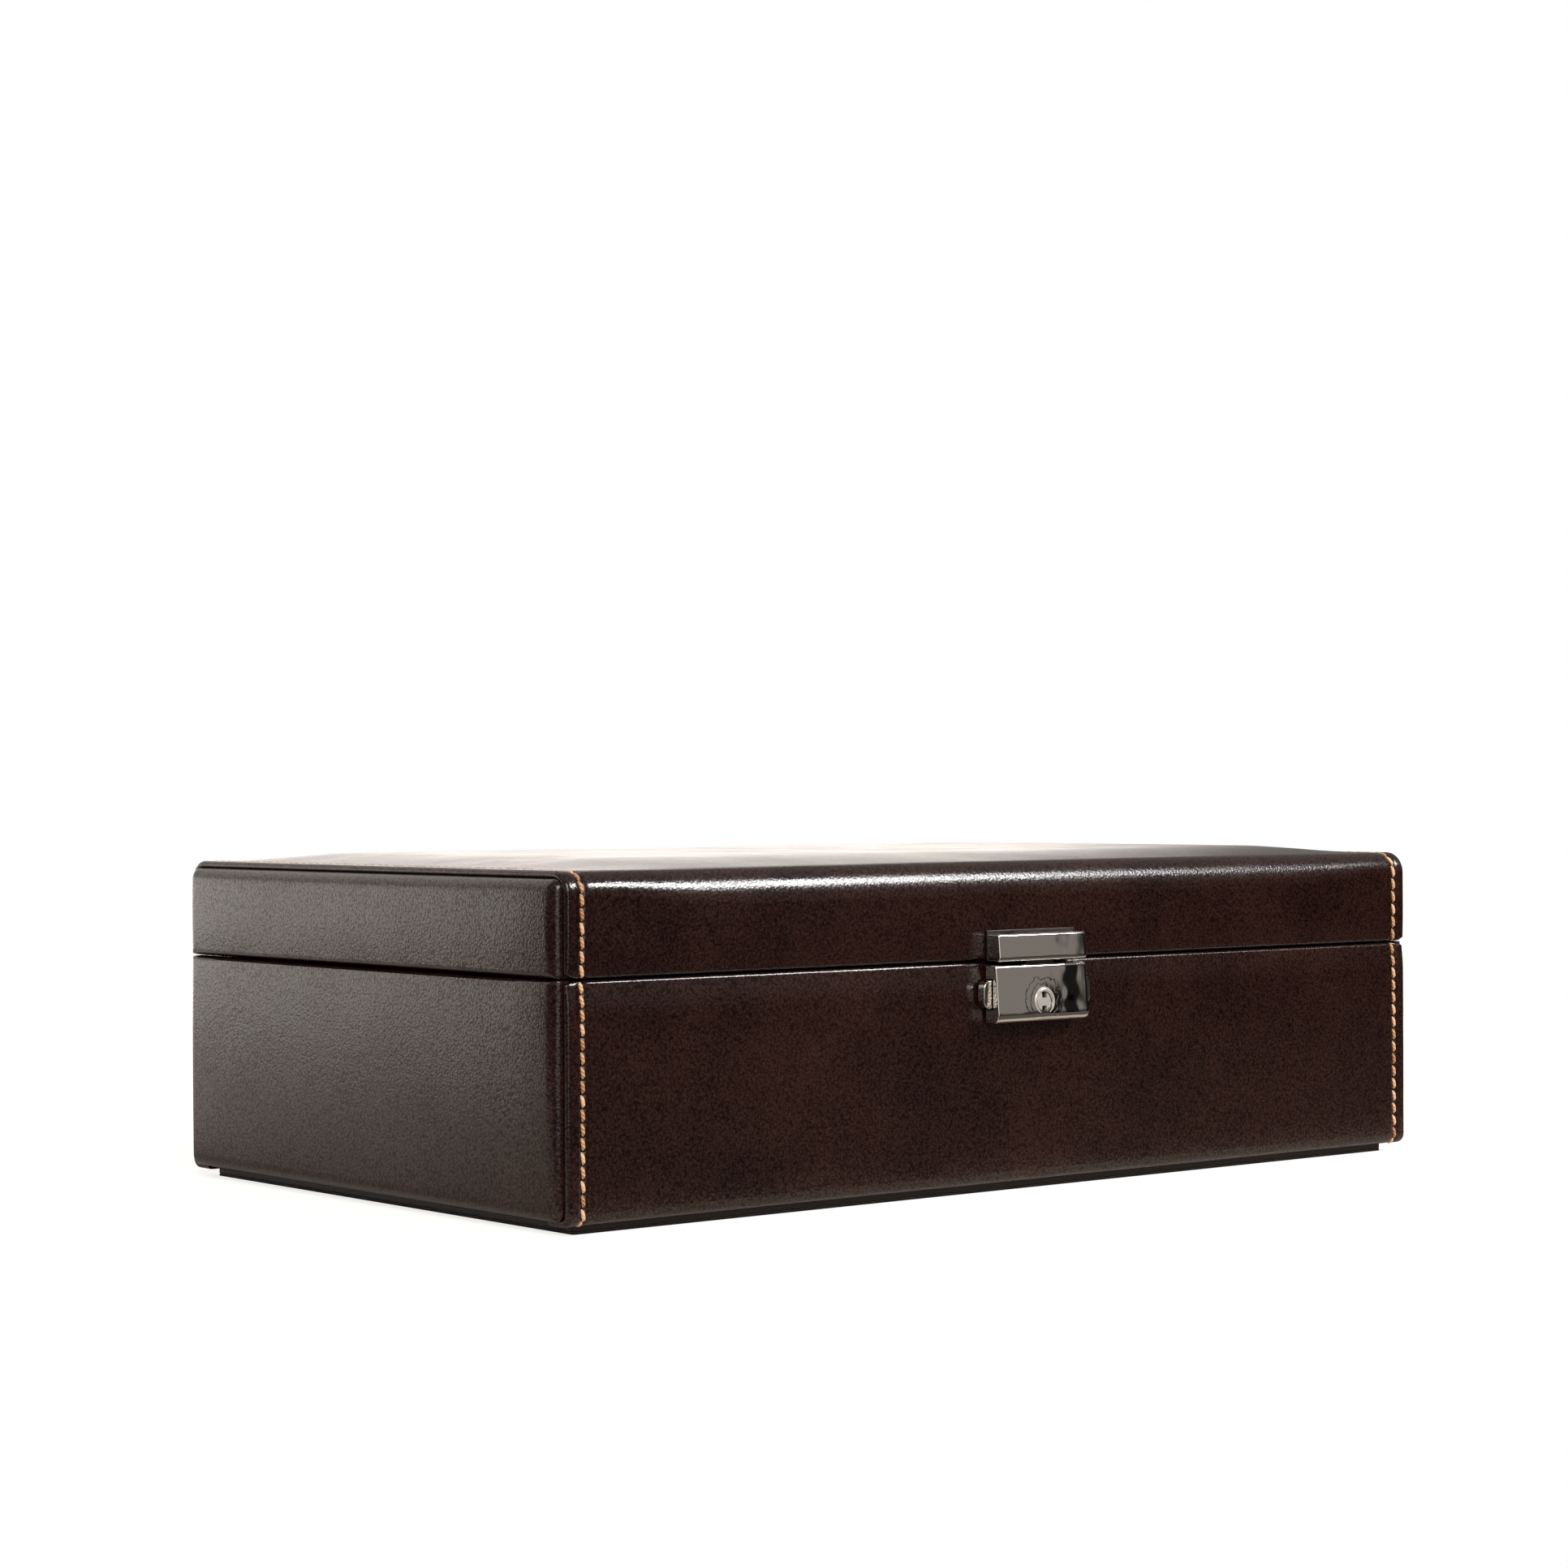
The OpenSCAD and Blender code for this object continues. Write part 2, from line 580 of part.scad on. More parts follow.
// Pocket in a rim for the leaves: up is 1 in the lid and -1 in the base.
module hinge_seat(rim, up) for (s = [-1, 1]) {
    seat = pivot_z + up * leaf_z1;
    slab([s * hinge_x - hinge_w / 2 - leaf_fit, leaf_y0 - leaf_fit, min(seat, rim - up * cut)],
        [s * hinge_x + hinge_w / 2 + leaf_fit, wrap_y + cut, max(seat, rim - up * cut)]);
}

module hinge_screw_holes(up) for (s = [-1, 1], t = [-1, 1])
    translate([s * hinge_x + t * hinge_screw_x, hinge_screw_y, pivot_z])
        rotate([up > 0 ? 0 : 180, 0, 0])
            cylinder(h = leaf_z0 + hinge_screw_len, r = hinge_screw_r);

module hinge_screws(up) for (s = [-1, 1], t = [-1, 1])
    translate([s * hinge_x + t * hinge_screw_x, hinge_screw_y, pivot_z])
        rotate([up > 0 ? 0 : 180, 0, 0]) translate([0, 0, leaf_z0]) {
            cylinder(h = hinge_screw_len, r = hinge_screw_r);
            cylinder(h = leaf_t, r1 = hinge_head_r, r2 = hinge_screw_r);
        }

// Leaf with the knuckles that start at number first, every second one.
module hinge_leaf(side, up, first) translate([side * hinge_x, 0, 0]) difference() {
    union() {
        slab([-hinge_w / 2, leaf_y0, pivot_z + (up > 0 ? leaf_z0 : -leaf_z1)],
            [hinge_w / 2, pivot_y, pivot_z + (up > 0 ? leaf_z1 : -leaf_z0)]);
        for (k = [first:2:knuckles - 1])
            translate([-hinge_w / 2 + k * knuckle_len + knuckle_gap / 2, pivot_y, pivot_z])
                rotate([0, 90, 0]) cylinder(h = knuckle_len - knuckle_gap, r = knuckle_r);
    }
    for (k = [1 - first:2:knuckles - 1])
        translate([-hinge_w / 2 + k * knuckle_len - knuckle_gap / 2, pivot_y, pivot_z])
            rotate([0, 90, 0]) cylinder(h = knuckle_len + knuckle_gap, r = swing_clear);
    translate([-hinge_w, pivot_y, pivot_z]) rotate([0, 90, 0])
        cylinder(h = 2 * hinge_w, r = pin_bore_r);
    for (t = [-1, 1]) translate([t * hinge_screw_x, hinge_screw_y, pivot_z])
        rotate([up > 0 ? 0 : 180, 0, 0]) translate([0, 0, leaf_z0]) {
            translate([0, 0, -cut]) cylinder(h = leaf_t + 2 * cut, r = hinge_screw_r);
            cylinder(h = leaf_t, r1 = hinge_head_r, r2 = hinge_screw_r);
        }
}

module hinge_base_leaf_left() color(steel) hinge_leaf(-1, -1, 0);
module hinge_base_leaf_right() color(steel) hinge_leaf(1, -1, 0);
module hinge_lid_leaf_left() color(steel) hinge_leaf(-1, 1, 1);
module hinge_lid_leaf_right() color(steel) hinge_leaf(1, 1, 1);
module hinge_base_screws() color(steel) hinge_screws(-1);
module hinge_lid_screws() color(steel) hinge_screws(1);

module hinge_pin(side) translate([side * hinge_x - hinge_w / 2, pivot_y, pivot_z]) rotate([0, 90, 0]) {
    cylinder(h = hinge_w, r = hinge_pin_r);
    translate([0, 0, -pin_head_t]) cylinder(h = pin_head_t, r = pin_head_r);
    translate([0, 0, hinge_w]) cylinder(h = pin_head_t, r = pin_head_r);
}

module hinge_pin_left() color(steel) hinge_pin(-1);
module hinge_pin_right() color(steel) hinge_pin(1);

// ---- lid boards ----

module lid_top_board() color(board)
    slab([-lid_in_x, -lid_in_y, lid_ceiling], [lid_in_x, lid_in_y, lid_board_z1]);

module lid_long_board() along_x(2 * board_x)
    polygon(round_rect([lid_in_y, lid_board_z0], [board_y, lid_board_z1], [0, 0, board_r, 0]));

module lid_front_board() color(board) difference() {
    mirror([0, 1, 0]) lid_long_board();
    strike_screw_holes();
}

module lid_rear_board() color(board) difference() {
    lid_long_board();
    hinge_screw_holes(1);
}

module lid_end_board() slab([lid_in_x, -lid_in_y, lid_board_z0], [board_x, lid_in_y, lid_board_z1]);

module lid_left_board() color(board) mirrored_x(-1) lid_end_board();
module lid_right_board() color(board) lid_end_board();

// ---- padding and leatherette of the lid ----

crown_x = hem_x - stitch_inset - 1;
crown_y = wrap_y - wrap_r;

// Padded top above a flat level, arched both ways, with a flat hem outside the arch.
module crowned(half_x, half_y, z0, z1) intersection() {
    along_x(2 * half_x) polygon(concat([[-half_y, z1], [-half_y, z0], [half_y, z0], [half_y, z1]],
        crown_curve(z1, crown_y, crown_run, lid_crown)));
    along_y(2 * half_y) polygon(concat([[-half_x, z1], [-half_x, z0], [half_x, z0], [half_x, z1]],
        crown_curve(z1, crown_x, crown_run, lid_crown)));
}

module lid_foam() color("#d8d2c4") intersection() {
    along_x(2 * crown_x) polygon(crown_curve(lid_board_z1, crown_y, crown_run, lid_crown));
    along_y(2 * crown_y) polygon(crown_curve(lid_board_z1, crown_x, crown_run, lid_crown));
}

module lid_wrap() color(leather) difference() {
    intersection() {
        crowned(hem_x, wrap_y, lid_z0 - cut, lid_z1);
        along_x(case_w) polygon(concat(
            arc([rim_r - wrap_y, lid_z0 + rim_r], rim_r, 180, 270),
            arc([wrap_y - rim_r, lid_z0 + rim_r], rim_r, 270, 360),
            arc([wrap_y - wrap_r, lid_z1 - wrap_r], wrap_r, 0, 90),
            [[crown_y, lid_z1 + 2 * lid_crown], [-crown_y, lid_z1 + 2 * lid_crown]],
            arc([wrap_r - wrap_y, lid_z1 - wrap_r], wrap_r, 90, 180)));
    }
    intersection() {
        crowned(hem_x + cut, board_y, lid_board_z0, lid_board_z1);
        along_x(case_w + 2 * cut) polygon(concat(
            [[-board_y, lid_board_z0], [board_y, lid_board_z0]],
            arc([board_y - board_r, lid_board_z1 - board_r], board_r, 0, 90),
            [[board_y - board_r, lid_z1 + lid_crown], [board_r - board_y, lid_z1 + lid_crown]],
            arc([board_r - board_y, lid_board_z1 - board_r], board_r, 90, 180)));
    }
    slab([-hem_x - cut, -lid_in_y, lid_z0 - cut], [hem_x + cut, lid_in_y, lid_board_z0 + cut]);
    for (s = [-1, 1]) mirrored_x(s)
        slab([board_x, -board_y, lid_z0 - cut], [hem_x + cut, board_y, lid_board_z0 + cut]);
    hinge_seat(lid_z0, 1);
    hinge_screw_holes(1);
    strike_screw_holes();
}

module lid_cover() color(leather) end_cover(lid_z0, lid_board_z1 - cover_gap, rim_r, cover_r,
    lid_in_x, lid_in_y, lid_z0);

module lid_left_cover() mirrored_x(-1) lid_cover();
module lid_right_cover() lid_cover();

module lid_lining() color(velvet)
    wall_strips(lid_in_x, lid_in_y, lid_velvet_t, lip_z + lip_clear, lid_ceiling);

// Velvet cushion under the lid's top board, swelling downwards.
module lid_cushion() color(velvet) {
    fit = 0.4;
    half_x = lid_in_x - lid_velvet_t - fit;
    half_y = lid_in_y - lid_velvet_t - fit;
    edge_z = lid_ceiling - cushion_edge_t;
    intersection() {
        along_x(2 * half_x) polygon(concat([[-half_y, lid_ceiling], [-half_y, edge_z]],
            [for (p = crown_curve(0, half_y, crown_run, cushion_crown)) [-p.x, edge_z - p.y]],
            [[half_y, lid_ceiling]]));
        along_y(2 * half_y) polygon(concat([[-half_x, lid_ceiling], [-half_x, edge_z]],
            [for (p = crown_curve(0, half_x, crown_run, cushion_crown)) [-p.x, edge_z - p.y]],
            [[half_x, lid_ceiling]]));
    }
}

// ---- assembly ----

plinth_felt();
plinth_board();
base_floor_board();
base_front_board();
base_rear_board();
base_left_board();
base_right_board();
base_wrap();
base_left_cover();
base_right_cover();
base_lining();
long_divider();
cross_divider(1);  // cross_divider_1
cross_divider(2);  // cross_divider_2
cross_divider(3);  // cross_divider_3
watch_pad(1);  // watch_pad_1
watch_pad(2);  // watch_pad_2
watch_pad(3);  // watch_pad_3
watch_pad(4);  // watch_pad_4
watch_pad(5);  // watch_pad_5
watch_pad(6);  // watch_pad_6
watch_pad(7);  // watch_pad_7
watch_pad(8);  // watch_pad_8
lock_back_plate();
lock_case();
lock_screws();
key_plug();
push_tab_left();
push_tab_right();
tab_spring_left();
tab_spring_right();
hinge_base_leaf_left();
hinge_base_leaf_right();
hinge_pin_left();
hinge_pin_right();
hinge_base_screws();
hinge_lid_leaf_left();
hinge_lid_leaf_right();
hinge_lid_screws();
lid_top_board();
lid_front_board();
lid_rear_board();
lid_left_board();
lid_right_board();
lid_foam();
lid_wrap();
lid_left_cover();
lid_right_cover();
lid_lining();
lid_cushion();
strike_plate();
strike_block();
strike_tongue();
strike_screws();
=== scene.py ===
from functools import partial
from math import cos, pi, radians, sin, sqrt

import bmesh
import bpy
import numpy as np
from mathutils import Matrix, Vector, noise


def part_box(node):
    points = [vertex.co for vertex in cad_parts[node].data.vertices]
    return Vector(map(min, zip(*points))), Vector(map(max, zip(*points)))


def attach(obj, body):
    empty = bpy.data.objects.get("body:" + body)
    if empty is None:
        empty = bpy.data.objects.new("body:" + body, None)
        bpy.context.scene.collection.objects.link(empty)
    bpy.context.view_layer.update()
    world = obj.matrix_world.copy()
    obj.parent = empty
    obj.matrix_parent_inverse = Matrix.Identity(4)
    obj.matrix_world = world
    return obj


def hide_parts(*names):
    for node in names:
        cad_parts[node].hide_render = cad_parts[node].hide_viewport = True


# A leatherette pocket watch box with a padded, stitched lid and a nickel plated case lock.
# Shapes are written in millimetres and turned to metres when a mesh is made.
# +X runs to the right along the front, +Y to the hinges, +Z up.

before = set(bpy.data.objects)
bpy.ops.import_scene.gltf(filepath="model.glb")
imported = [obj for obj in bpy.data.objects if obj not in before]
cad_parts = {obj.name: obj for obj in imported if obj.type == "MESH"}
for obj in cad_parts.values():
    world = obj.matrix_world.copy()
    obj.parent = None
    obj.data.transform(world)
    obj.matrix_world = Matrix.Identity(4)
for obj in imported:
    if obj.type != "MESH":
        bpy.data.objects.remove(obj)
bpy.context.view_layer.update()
mm = 0.001


def span(node):  # lowest and highest corner of a CAD node, in mm
    low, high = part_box(node)
    return [v / mm for v in low], [v / mm for v in high]


# sizes that every piece shares, read from the frame
baseLow, baseHigh = span("base_wrap")
lidLow, lidHigh = span("lid_wrap")
boardLow, boardHigh = span("base_front_board")
caseSize = {
    "hemX": baseHigh[0],
    "wrapY": baseHigh[1],
    "baseFoot": baseLow[2],
    "baseRim": baseHigh[2],
    "lidRim": lidLow[2],
    "lidPeak": lidHigh[2],
    "boardX": boardHigh[0],
    "boardY": -boardLow[1],
    "baseInX": -span("base_floor_board")[0][0],
    "baseInY": -boardHigh[1],
    "lidInX": -span("lid_top_board")[0][0],
    "lidInY": -span("lid_top_board")[0][1],
    "wrapThick": boardLow[2] - baseLow[2],
    "turnIn": baseHigh[2] - boardHigh[2],
}
lidShoulder = span("lid_front_board")[1][2] + caseSize["wrapThick"]  # level of the lid's stitched hems
lockFace = span("strike_block")[0][1]  # y of the faces of strike and lock case
plugLow, plugHigh = span("key_plug")
plugRadius = (plugHigh[0] - plugLow[0]) / 2
keyZ = plugHigh[2] - plugRadius  # height of the keyhole's middle
print("frame read:", {k: round(v, 2) for k, v in caseSize.items()})


# node and material helpers
def linear(hexColour):
    channels = [int(hexColour[i:i + 2], 16) / 255 for i in (1, 3, 5)]
    return tuple(c / 12.92 if c <= 0.04045 else ((c + 0.055) / 1.055) ** 2.4 for c in channels) + (1,)


def addNode(tree, kind, settings=None, **sockets):
    # A node with its settings, or its operation as a bare word, and a value or a link for each socket.
    # i0 is the first socket, a name has _ for its spaces, and a node as a value stands for its first output.
    node = tree.nodes.new(kind)
    settings = {"operation": settings} if isinstance(settings, str) else settings or {}
    for key, value in settings.items():
        if key == "stops":  # of a colour ramp, as pairs of position and hex colour
            elements = node.color_ramp.elements
            while len(elements) < len(value):
                elements.new(0.5)
            for element, (position, colour) in zip(elements, value):
                element.position, element.color = position, linear(colour)
        else:
            setattr(node, key, value)
    for key, value in sockets.items():
        numbered = key[0] == "i" and key[1:].isdigit()
        socket = node.inputs[int(key[1:]) if numbered else key.replace("_", " ")]
        value = value.outputs[0] if isinstance(value, bpy.types.Node) else value
        if isinstance(value, bpy.types.NodeSocket):
            tree.links.new(value, socket)
        else:
            socket.default_value = value
    return node


def newMaterial(name):  # an empty material, what adds its nodes, and the coordinates of its patterns
    material = bpy.data.materials.new(name)
    material.use_nodes = True
    material.node_tree.nodes.clear()
    add = partial(addNode, material.node_tree)
    return material, add, add("ShaderNodeTexCoord").outputs["Object"]


def perMm(size):  # texture scale for a pattern of this size in mm, on coordinates in metres
    return 1 / (size * mm)


# materials
leatherFinish = {
    "deep": "#0f0605", "mid": "#24120e", "worn": "#351d16",
    "seamShadeColour": "#0b0606",        # painted shade along the sunk needle lines and in the needle holes
    "grain": 0.6,                # mm
    "pebble": 0.7,               # mm, half as coarse again as it really is, so that it shows in a render
    "crease": 1.9,               # mm between faint creases
    "mottle": 26.0,              # mm between duller and glossier, creased patches
    "roughness": (0.16, 0.22),
    "specular": (0.3, 0.71),     # level between the pebbles and on top of them
    "height": (0.045, 0.06, 0.3),   # mm, of pebbles and grain, of creases and of slow waves
}


def leatherMaterial():  # calendered PU leatherette: dark red-brown, semi gloss, finely creased
    f = leatherFinish
    fine, creased, slow = (v * mm for v in f["height"])
    material, add, spot = newMaterial("smoothLeatherette")
    mottle = add("ShaderNodeTexNoise", Vector=spot, Scale=perMm(f["mottle"]), Detail=4.0, Roughness=0.6)
    grain = add("ShaderNodeTexNoise", Vector=spot, Scale=perMm(f["grain"]), Detail=2.0, Roughness=0.55)
    stir = add("ShaderNodeVectorMath", "MULTIPLY_ADD", i0=grain.outputs["Color"],
               i1=(0.5 * mm, 0.5 * mm, 0.5 * mm), i2=spot)
    pebble = add("ShaderNodeTexVoronoi", Vector=stir, Scale=perMm(f["pebble"]))
    drawn = add("ShaderNodeMapping", Vector=spot, Scale=(1.0, 1.0, 0.7), Rotation=(0.5, 0.35, 0.2))
    crease = add("ShaderNodeTexNoise", {"noise_type": "RIDGED_MULTIFRACTAL"}, Vector=drawn,
                 Scale=perMm(f["crease"]), Detail=3.0, Distortion=0.5)
    patch = add("ShaderNodeMapRange", {"interpolation_type": "SMOOTHSTEP"}, Value=mottle.outputs["Fac"],
                From_Min=0.35, From_Max=0.75)
    fold = add("ShaderNodeMath", "MULTIPLY", i0=crease.outputs["Fac"], i1=patch)
    calm = add("ShaderNodeMapRange", Value=mottle.outputs["Fac"], To_Min=0.15, To_Max=0.85)
    speck = add("ShaderNodeMath", "MULTIPLY_ADD", i0=pebble.outputs["Distance"], i1=-0.8, i2=calm)
    tone = add("ShaderNodeMath", "MULTIPLY_ADD", i0=grain.outputs["Fac"], i1=1.0, i2=speck)
    colour = add("ShaderNodeValToRGB", {"stops": [(0.2, f["deep"]), (0.62, f["mid"]), (1.0, f["worn"])]},
                 Fac=tone)
    # painted shade: darker along the sunk needle lines, in the needle holes, and a little on the hem's fold
    # and inside
    pinch = add("ShaderNodeAttribute", {"attribute_name": "pinch"})
    dark = add("ShaderNodeMix", {"data_type": "RGBA"}, i0=pinch.outputs["Fac"], i6=colour,
               i7=linear(f["seamShadeColour"]))
    shine = add("ShaderNodeMapRange", Value=mottle.outputs["Fac"], From_Min=0.3, From_Max=0.7,
                To_Min=f["roughness"][0], To_Max=f["roughness"][1])
    bumpPebble = add("ShaderNodeBump", {"invert": True}, Strength=0.6, Distance=fine,
                     Height=pebble.outputs["Distance"])
    bumpFine = add("ShaderNodeBump", Strength=0.5, Distance=fine, Height=grain.outputs["Fac"],
                   Normal=bumpPebble)
    bumpFold = add("ShaderNodeBump", Strength=0.3, Distance=creased, Height=fold, Normal=bumpFine)
    bumpWave = add("ShaderNodeBump", Strength=0.4, Distance=slow, Height=mottle.outputs["Fac"],
                   Normal=bumpFold)
    dimple = add("ShaderNodeMath", "MULTIPLY_ADD", i0=pebble.outputs["Distance"], i1=-0.8,
                 i2=grain.outputs["Fac"])
    pores = add("ShaderNodeMapRange", Value=dimple, From_Min=-0.15, From_Max=0.35, To_Min=f["specular"][0],
                To_Max=f["specular"][1])
    shader = add("ShaderNodeBsdfPrincipled", Base_Color=dark.outputs["Result"], Roughness=shine,
                 Specular_IOR_Level=pores, Normal=bumpWave, IOR=1.5)
    add("ShaderNodeOutputMaterial", Surface=shader)
    return material


nickelFinish = {
    "bright": ("#d6d1cb", 0.035, 6, 0.0),   # colour, roughness, mm between dents, share of the cast pits
    # satin roughness, but a colour far darker than nickel: painted shade standing for the plates' dark
    # reflections
    "satin": ("#4f4a46", 0.34, 4, 1.0),
    "rings": (0.69, 0.88),   # radii of two faint wavy lines round the keyhole, in shares of their span
    "ringSpan": 9.0,         # mm
    "ringWave": 2.6,         # mm
    "line": 0.03,            # width of such a line
    "pit": 0.7,              # mm, the cast ends' pits, coarser than real ones so that they show in a render
    "height": (0.09, 0.03, 0.12),   # mm, of pressing dents, of the lines and of pits
    "rubbed": (0.15, 0.45),  # more roughness and less metal where the plate is worn
    "hollow": "#2c1c12",     # painted shade down in the key plug's notches
}


def nickelMaterial(name, colour, rough, wave, pit):
    # nickel plate: warm grey mirror with pressing dents and hair lines; its ends are left as cast
    f = nickelFinish
    dents, lines, pitted = (v * mm for v in f["height"])
    keyhole = (0, lockFace * mm, keyZ * mm)
    material, add, spot = newMaterial(name)
    smear = add("ShaderNodeTexNoise", Vector=spot, Scale=perMm(6), Detail=3.0)
    sheen = add("ShaderNodeMapRange", Value=smear.outputs["Fac"], From_Min=0.35, From_Max=0.7, To_Min=rough,
                To_Max=rough * 1.8)
    dent = add("ShaderNodeTexNoise", Vector=spot, Scale=perMm(wave), Detail=1.0)
    apart = add("ShaderNodeVectorMath", "DISTANCE", i0=spot, i1=keyhole)
    uneven = add("ShaderNodeTexNoise", Vector=spot, Scale=perMm(f["ringWave"]), Detail=2.0)
    wavy = add("ShaderNodeMath", "MULTIPLY", i0=uneven.outputs["Fac"], i1=0.35)
    ringed = add("ShaderNodeMath", "MULTIPLY_ADD", i0=apart.outputs["Value"], i1=perMm(f["ringSpan"]),
                 i2=wavy)
    rings = []
    for level in f["rings"]:
        near = add("ShaderNodeMath", "SUBTRACT", i0=ringed, i1=level)
        rings.append(add("ShaderNodeMath", "ABSOLUTE", i0=near))
    away = add("ShaderNodeMath", "MINIMUM", i0=rings[0], i1=rings[1])
    line = add("ShaderNodeMapRange", {"interpolation_type": "SMOOTHSTEP"}, Value=away, From_Max=f["line"])
    bumpDent = add("ShaderNodeBump", Strength=1.0, Distance=dents, Height=dent.outputs["Fac"])
    bumpLine = add("ShaderNodeBump", Strength=1.0, Distance=lines, Height=line, Normal=bumpDent)
    pits = add("ShaderNodeTexNoise", Vector=spot, Scale=perMm(f["pit"]), Detail=2.0)
    across = add("ShaderNodeSeparateXYZ", i0=add("ShaderNodeNewGeometry").outputs["True Normal"])
    cast = add("ShaderNodeMath", "ABSOLUTE", i0=across.outputs["X"])
    cast = add("ShaderNodeMapRange", Value=cast, From_Min=0.9, From_Max=0.97, To_Min=pit, To_Max=1.0)
    bumpPit = add("ShaderNodeBump", Strength=cast, Distance=pitted, Height=pits.outputs["Fac"],
                  Normal=bumpLine)
    rubbed = add("ShaderNodeAttribute", {"attribute_name": "rubbed"})
    sheen = add("ShaderNodeMath", "MULTIPLY_ADD", i0=rubbed.outputs["Fac"], i1=f["rubbed"][0], i2=sheen)
    metal = add("ShaderNodeMapRange", Value=rubbed.outputs["Fac"], To_Min=1.0, To_Max=f["rubbed"][1])
    # painted shade: darker nickel on the floors of the key plug's notches
    hollow = add("ShaderNodeAttribute", {"attribute_name": "hollow"})
    shade = add("ShaderNodeMix", {"data_type": "RGBA"}, i0=hollow.outputs["Fac"], i6=linear(colour),
                i7=linear(f["hollow"]))
    shader = add("ShaderNodeBsdfPrincipled", Base_Color=shade.outputs["Result"], Metallic=metal,
                 Roughness=sheen, Normal=bumpPit)
    add("ShaderNodeOutputMaterial", Surface=shader)
    return material


threadFinish = {
    # from the painted shade between the plies to the painted highlight on their ridges, with a random tone
    # per stitch
    "stops": [(0.1, "#8a5632"), (0.55, "#c98d5c"), (1.0, "#eebd92")],
    "fuzz": 0.3,     # mm
    "height": 0.12,  # mm, of the plies
    "rough": 0.55,
}


def threadMaterial():  # bonded polyester sewing thread, tan, two plies twisted: painted highlight on the ply ridges, painted shade between them
    f = threadFinish
    material, add, spot = newMaterial("tanThread")
    uv = add("ShaderNodeUVMap", {"uv_map": "UVMap"})
    shade = add("ShaderNodeAttribute", {"attribute_name": "shade"})
    plies = add("ShaderNodeTexWave", {"wave_type": "BANDS", "bands_direction": "DIAGONAL"}, Vector=uv,
                Scale=0.55, Distortion=0.4, Detail=1.0)
    fuzz = add("ShaderNodeTexNoise", Vector=spot, Scale=perMm(f["fuzz"]), Detail=2.0)
    # the plies' bands lighten and darken the colour: painted highlight and shade
    tone = add("ShaderNodeMath", "MULTIPLY_ADD", i0=plies.outputs["Fac"], i1=0.55, i2=shade.outputs["Fac"])
    colour = add("ShaderNodeValToRGB", {"stops": f["stops"]}, Fac=tone)
    lift = add("ShaderNodeMath", "ADD", i0=plies.outputs["Fac"], i1=fuzz.outputs["Fac"])
    bump = add("ShaderNodeBump", Strength=0.6, Distance=f["height"] * mm, Height=lift)
    shader = add("ShaderNodeBsdfPrincipled", Base_Color=colour, Roughness=f["rough"], Normal=bump, IOR=1.5,
                 Sheen_Weight=0.3)
    add("ShaderNodeOutputMaterial", Surface=shader)
    return material


velvetFinish = {
    "stops": [(0.4, "#b09b81"), (0.65, "#bda98e"), (0.9, "#c8b79d")],
    "sheen": "#efe4d2",
    "lean": 20,       # mm between patches of painted sheen, where the pile leans another way
    "pile": 0.5,      # mm
    "height": 0.25,   # mm, of the pile
}


def velvetMaterial():  # short pile velvet: soft beige, lighter and darker in patches of painted sheen where the pile leans, with a pale sheen lobe over all
    f = velvetFinish
    material, add, spot = newMaterial("beigeVelvet")
    lean = add("ShaderNodeTexNoise", Vector=spot, Scale=perMm(f["lean"]), Detail=4.0, Distortion=0.3)
    pile = add("ShaderNodeTexNoise", Vector=spot, Scale=perMm(f["pile"]), Detail=3.0)
    tone = add("ShaderNodeMath", "MULTIPLY_ADD", i0=pile.outputs["Fac"], i1=0.3, i2=lean.outputs["Fac"])
    colour = add("ShaderNodeValToRGB", {"stops": f["stops"]}, Fac=tone)
    bump = add("ShaderNodeBump", Strength=0.7, Distance=f["height"] * mm, Height=pile.outputs["Fac"])
    shader = add("ShaderNodeBsdfPrincipled", Base_Color=colour, Roughness=0.95, Normal=bump,
                 Sheen_Weight=0.6, Sheen_Roughness=0.45, Sheen_Tint=linear(f["sheen"]))
    add("ShaderNodeOutputMaterial", Surface=shader)
    return material


plainLooks = {
    "rawFibreboard": {   # pressed: pale brown with short fibres
        "pattern": ("ShaderNodeTexNoise", 1.2, {"Detail": 5.0}), "bump": (0.4, 0.1),   # sizes in mm
        "stops": [(0.35, "#8f7048"), (0.65, "#b8966a")], "shader": {"Roughness": 0.8}},
    "grainedPaper": {   # leatherette paper on the plinth: duller and blacker than the wraps
        "pattern": ("ShaderNodeTexVoronoi", 0.8, {}), "bump": (0.6, 0.08),
        "stops": [(0.0, "#241613"), (0.8, "#160d0b")], "shader": {"Roughness": 0.5, "IOR": 1.5}},
    "pressedFelt": {   # wool, near black brown: matt with loose fibres
        "pattern": ("ShaderNodeTexNoise", 0.7, {"Detail": 5.0, "Roughness": 0.7}), "bump": (0.8, 0.2),
        "stops": [(0.35, "#15100e"), (0.7, "#2c2320")], "shader": {"Roughness": 1.0, "Sheen_Weight": 0.4}},
    "creamFoam": {   # open cell polyurethane with fine pores
        "pattern": ("ShaderNodeTexVoronoi", 0.9, {}), "bump": (0.8, 0.3),
        "stops": [(0.0, "#b9ae95"), (0.5, "#e2d9c3")], "shader": {"Roughness": 0.95}},
}


def plainMaterial(name):  # one pattern that colours it and makes its bumps
    f = plainLooks[name]
    material, add, spot = newMaterial(name)
    kind, size, settings = f["pattern"]
    pattern = add(kind, Vector=spot, Scale=perMm(size), **settings)
    colour = add("ShaderNodeValToRGB", {"stops": f["stops"]}, Fac=pattern)
    bump = add("ShaderNodeBump", Strength=f["bump"][0], Distance=f["bump"][1] * mm, Height=pattern)
    shader = add("ShaderNodeBsdfPrincipled", Base_Color=colour, Normal=bump, **f["shader"])
    add("ShaderNodeOutputMaterial", Surface=shader)
    return material


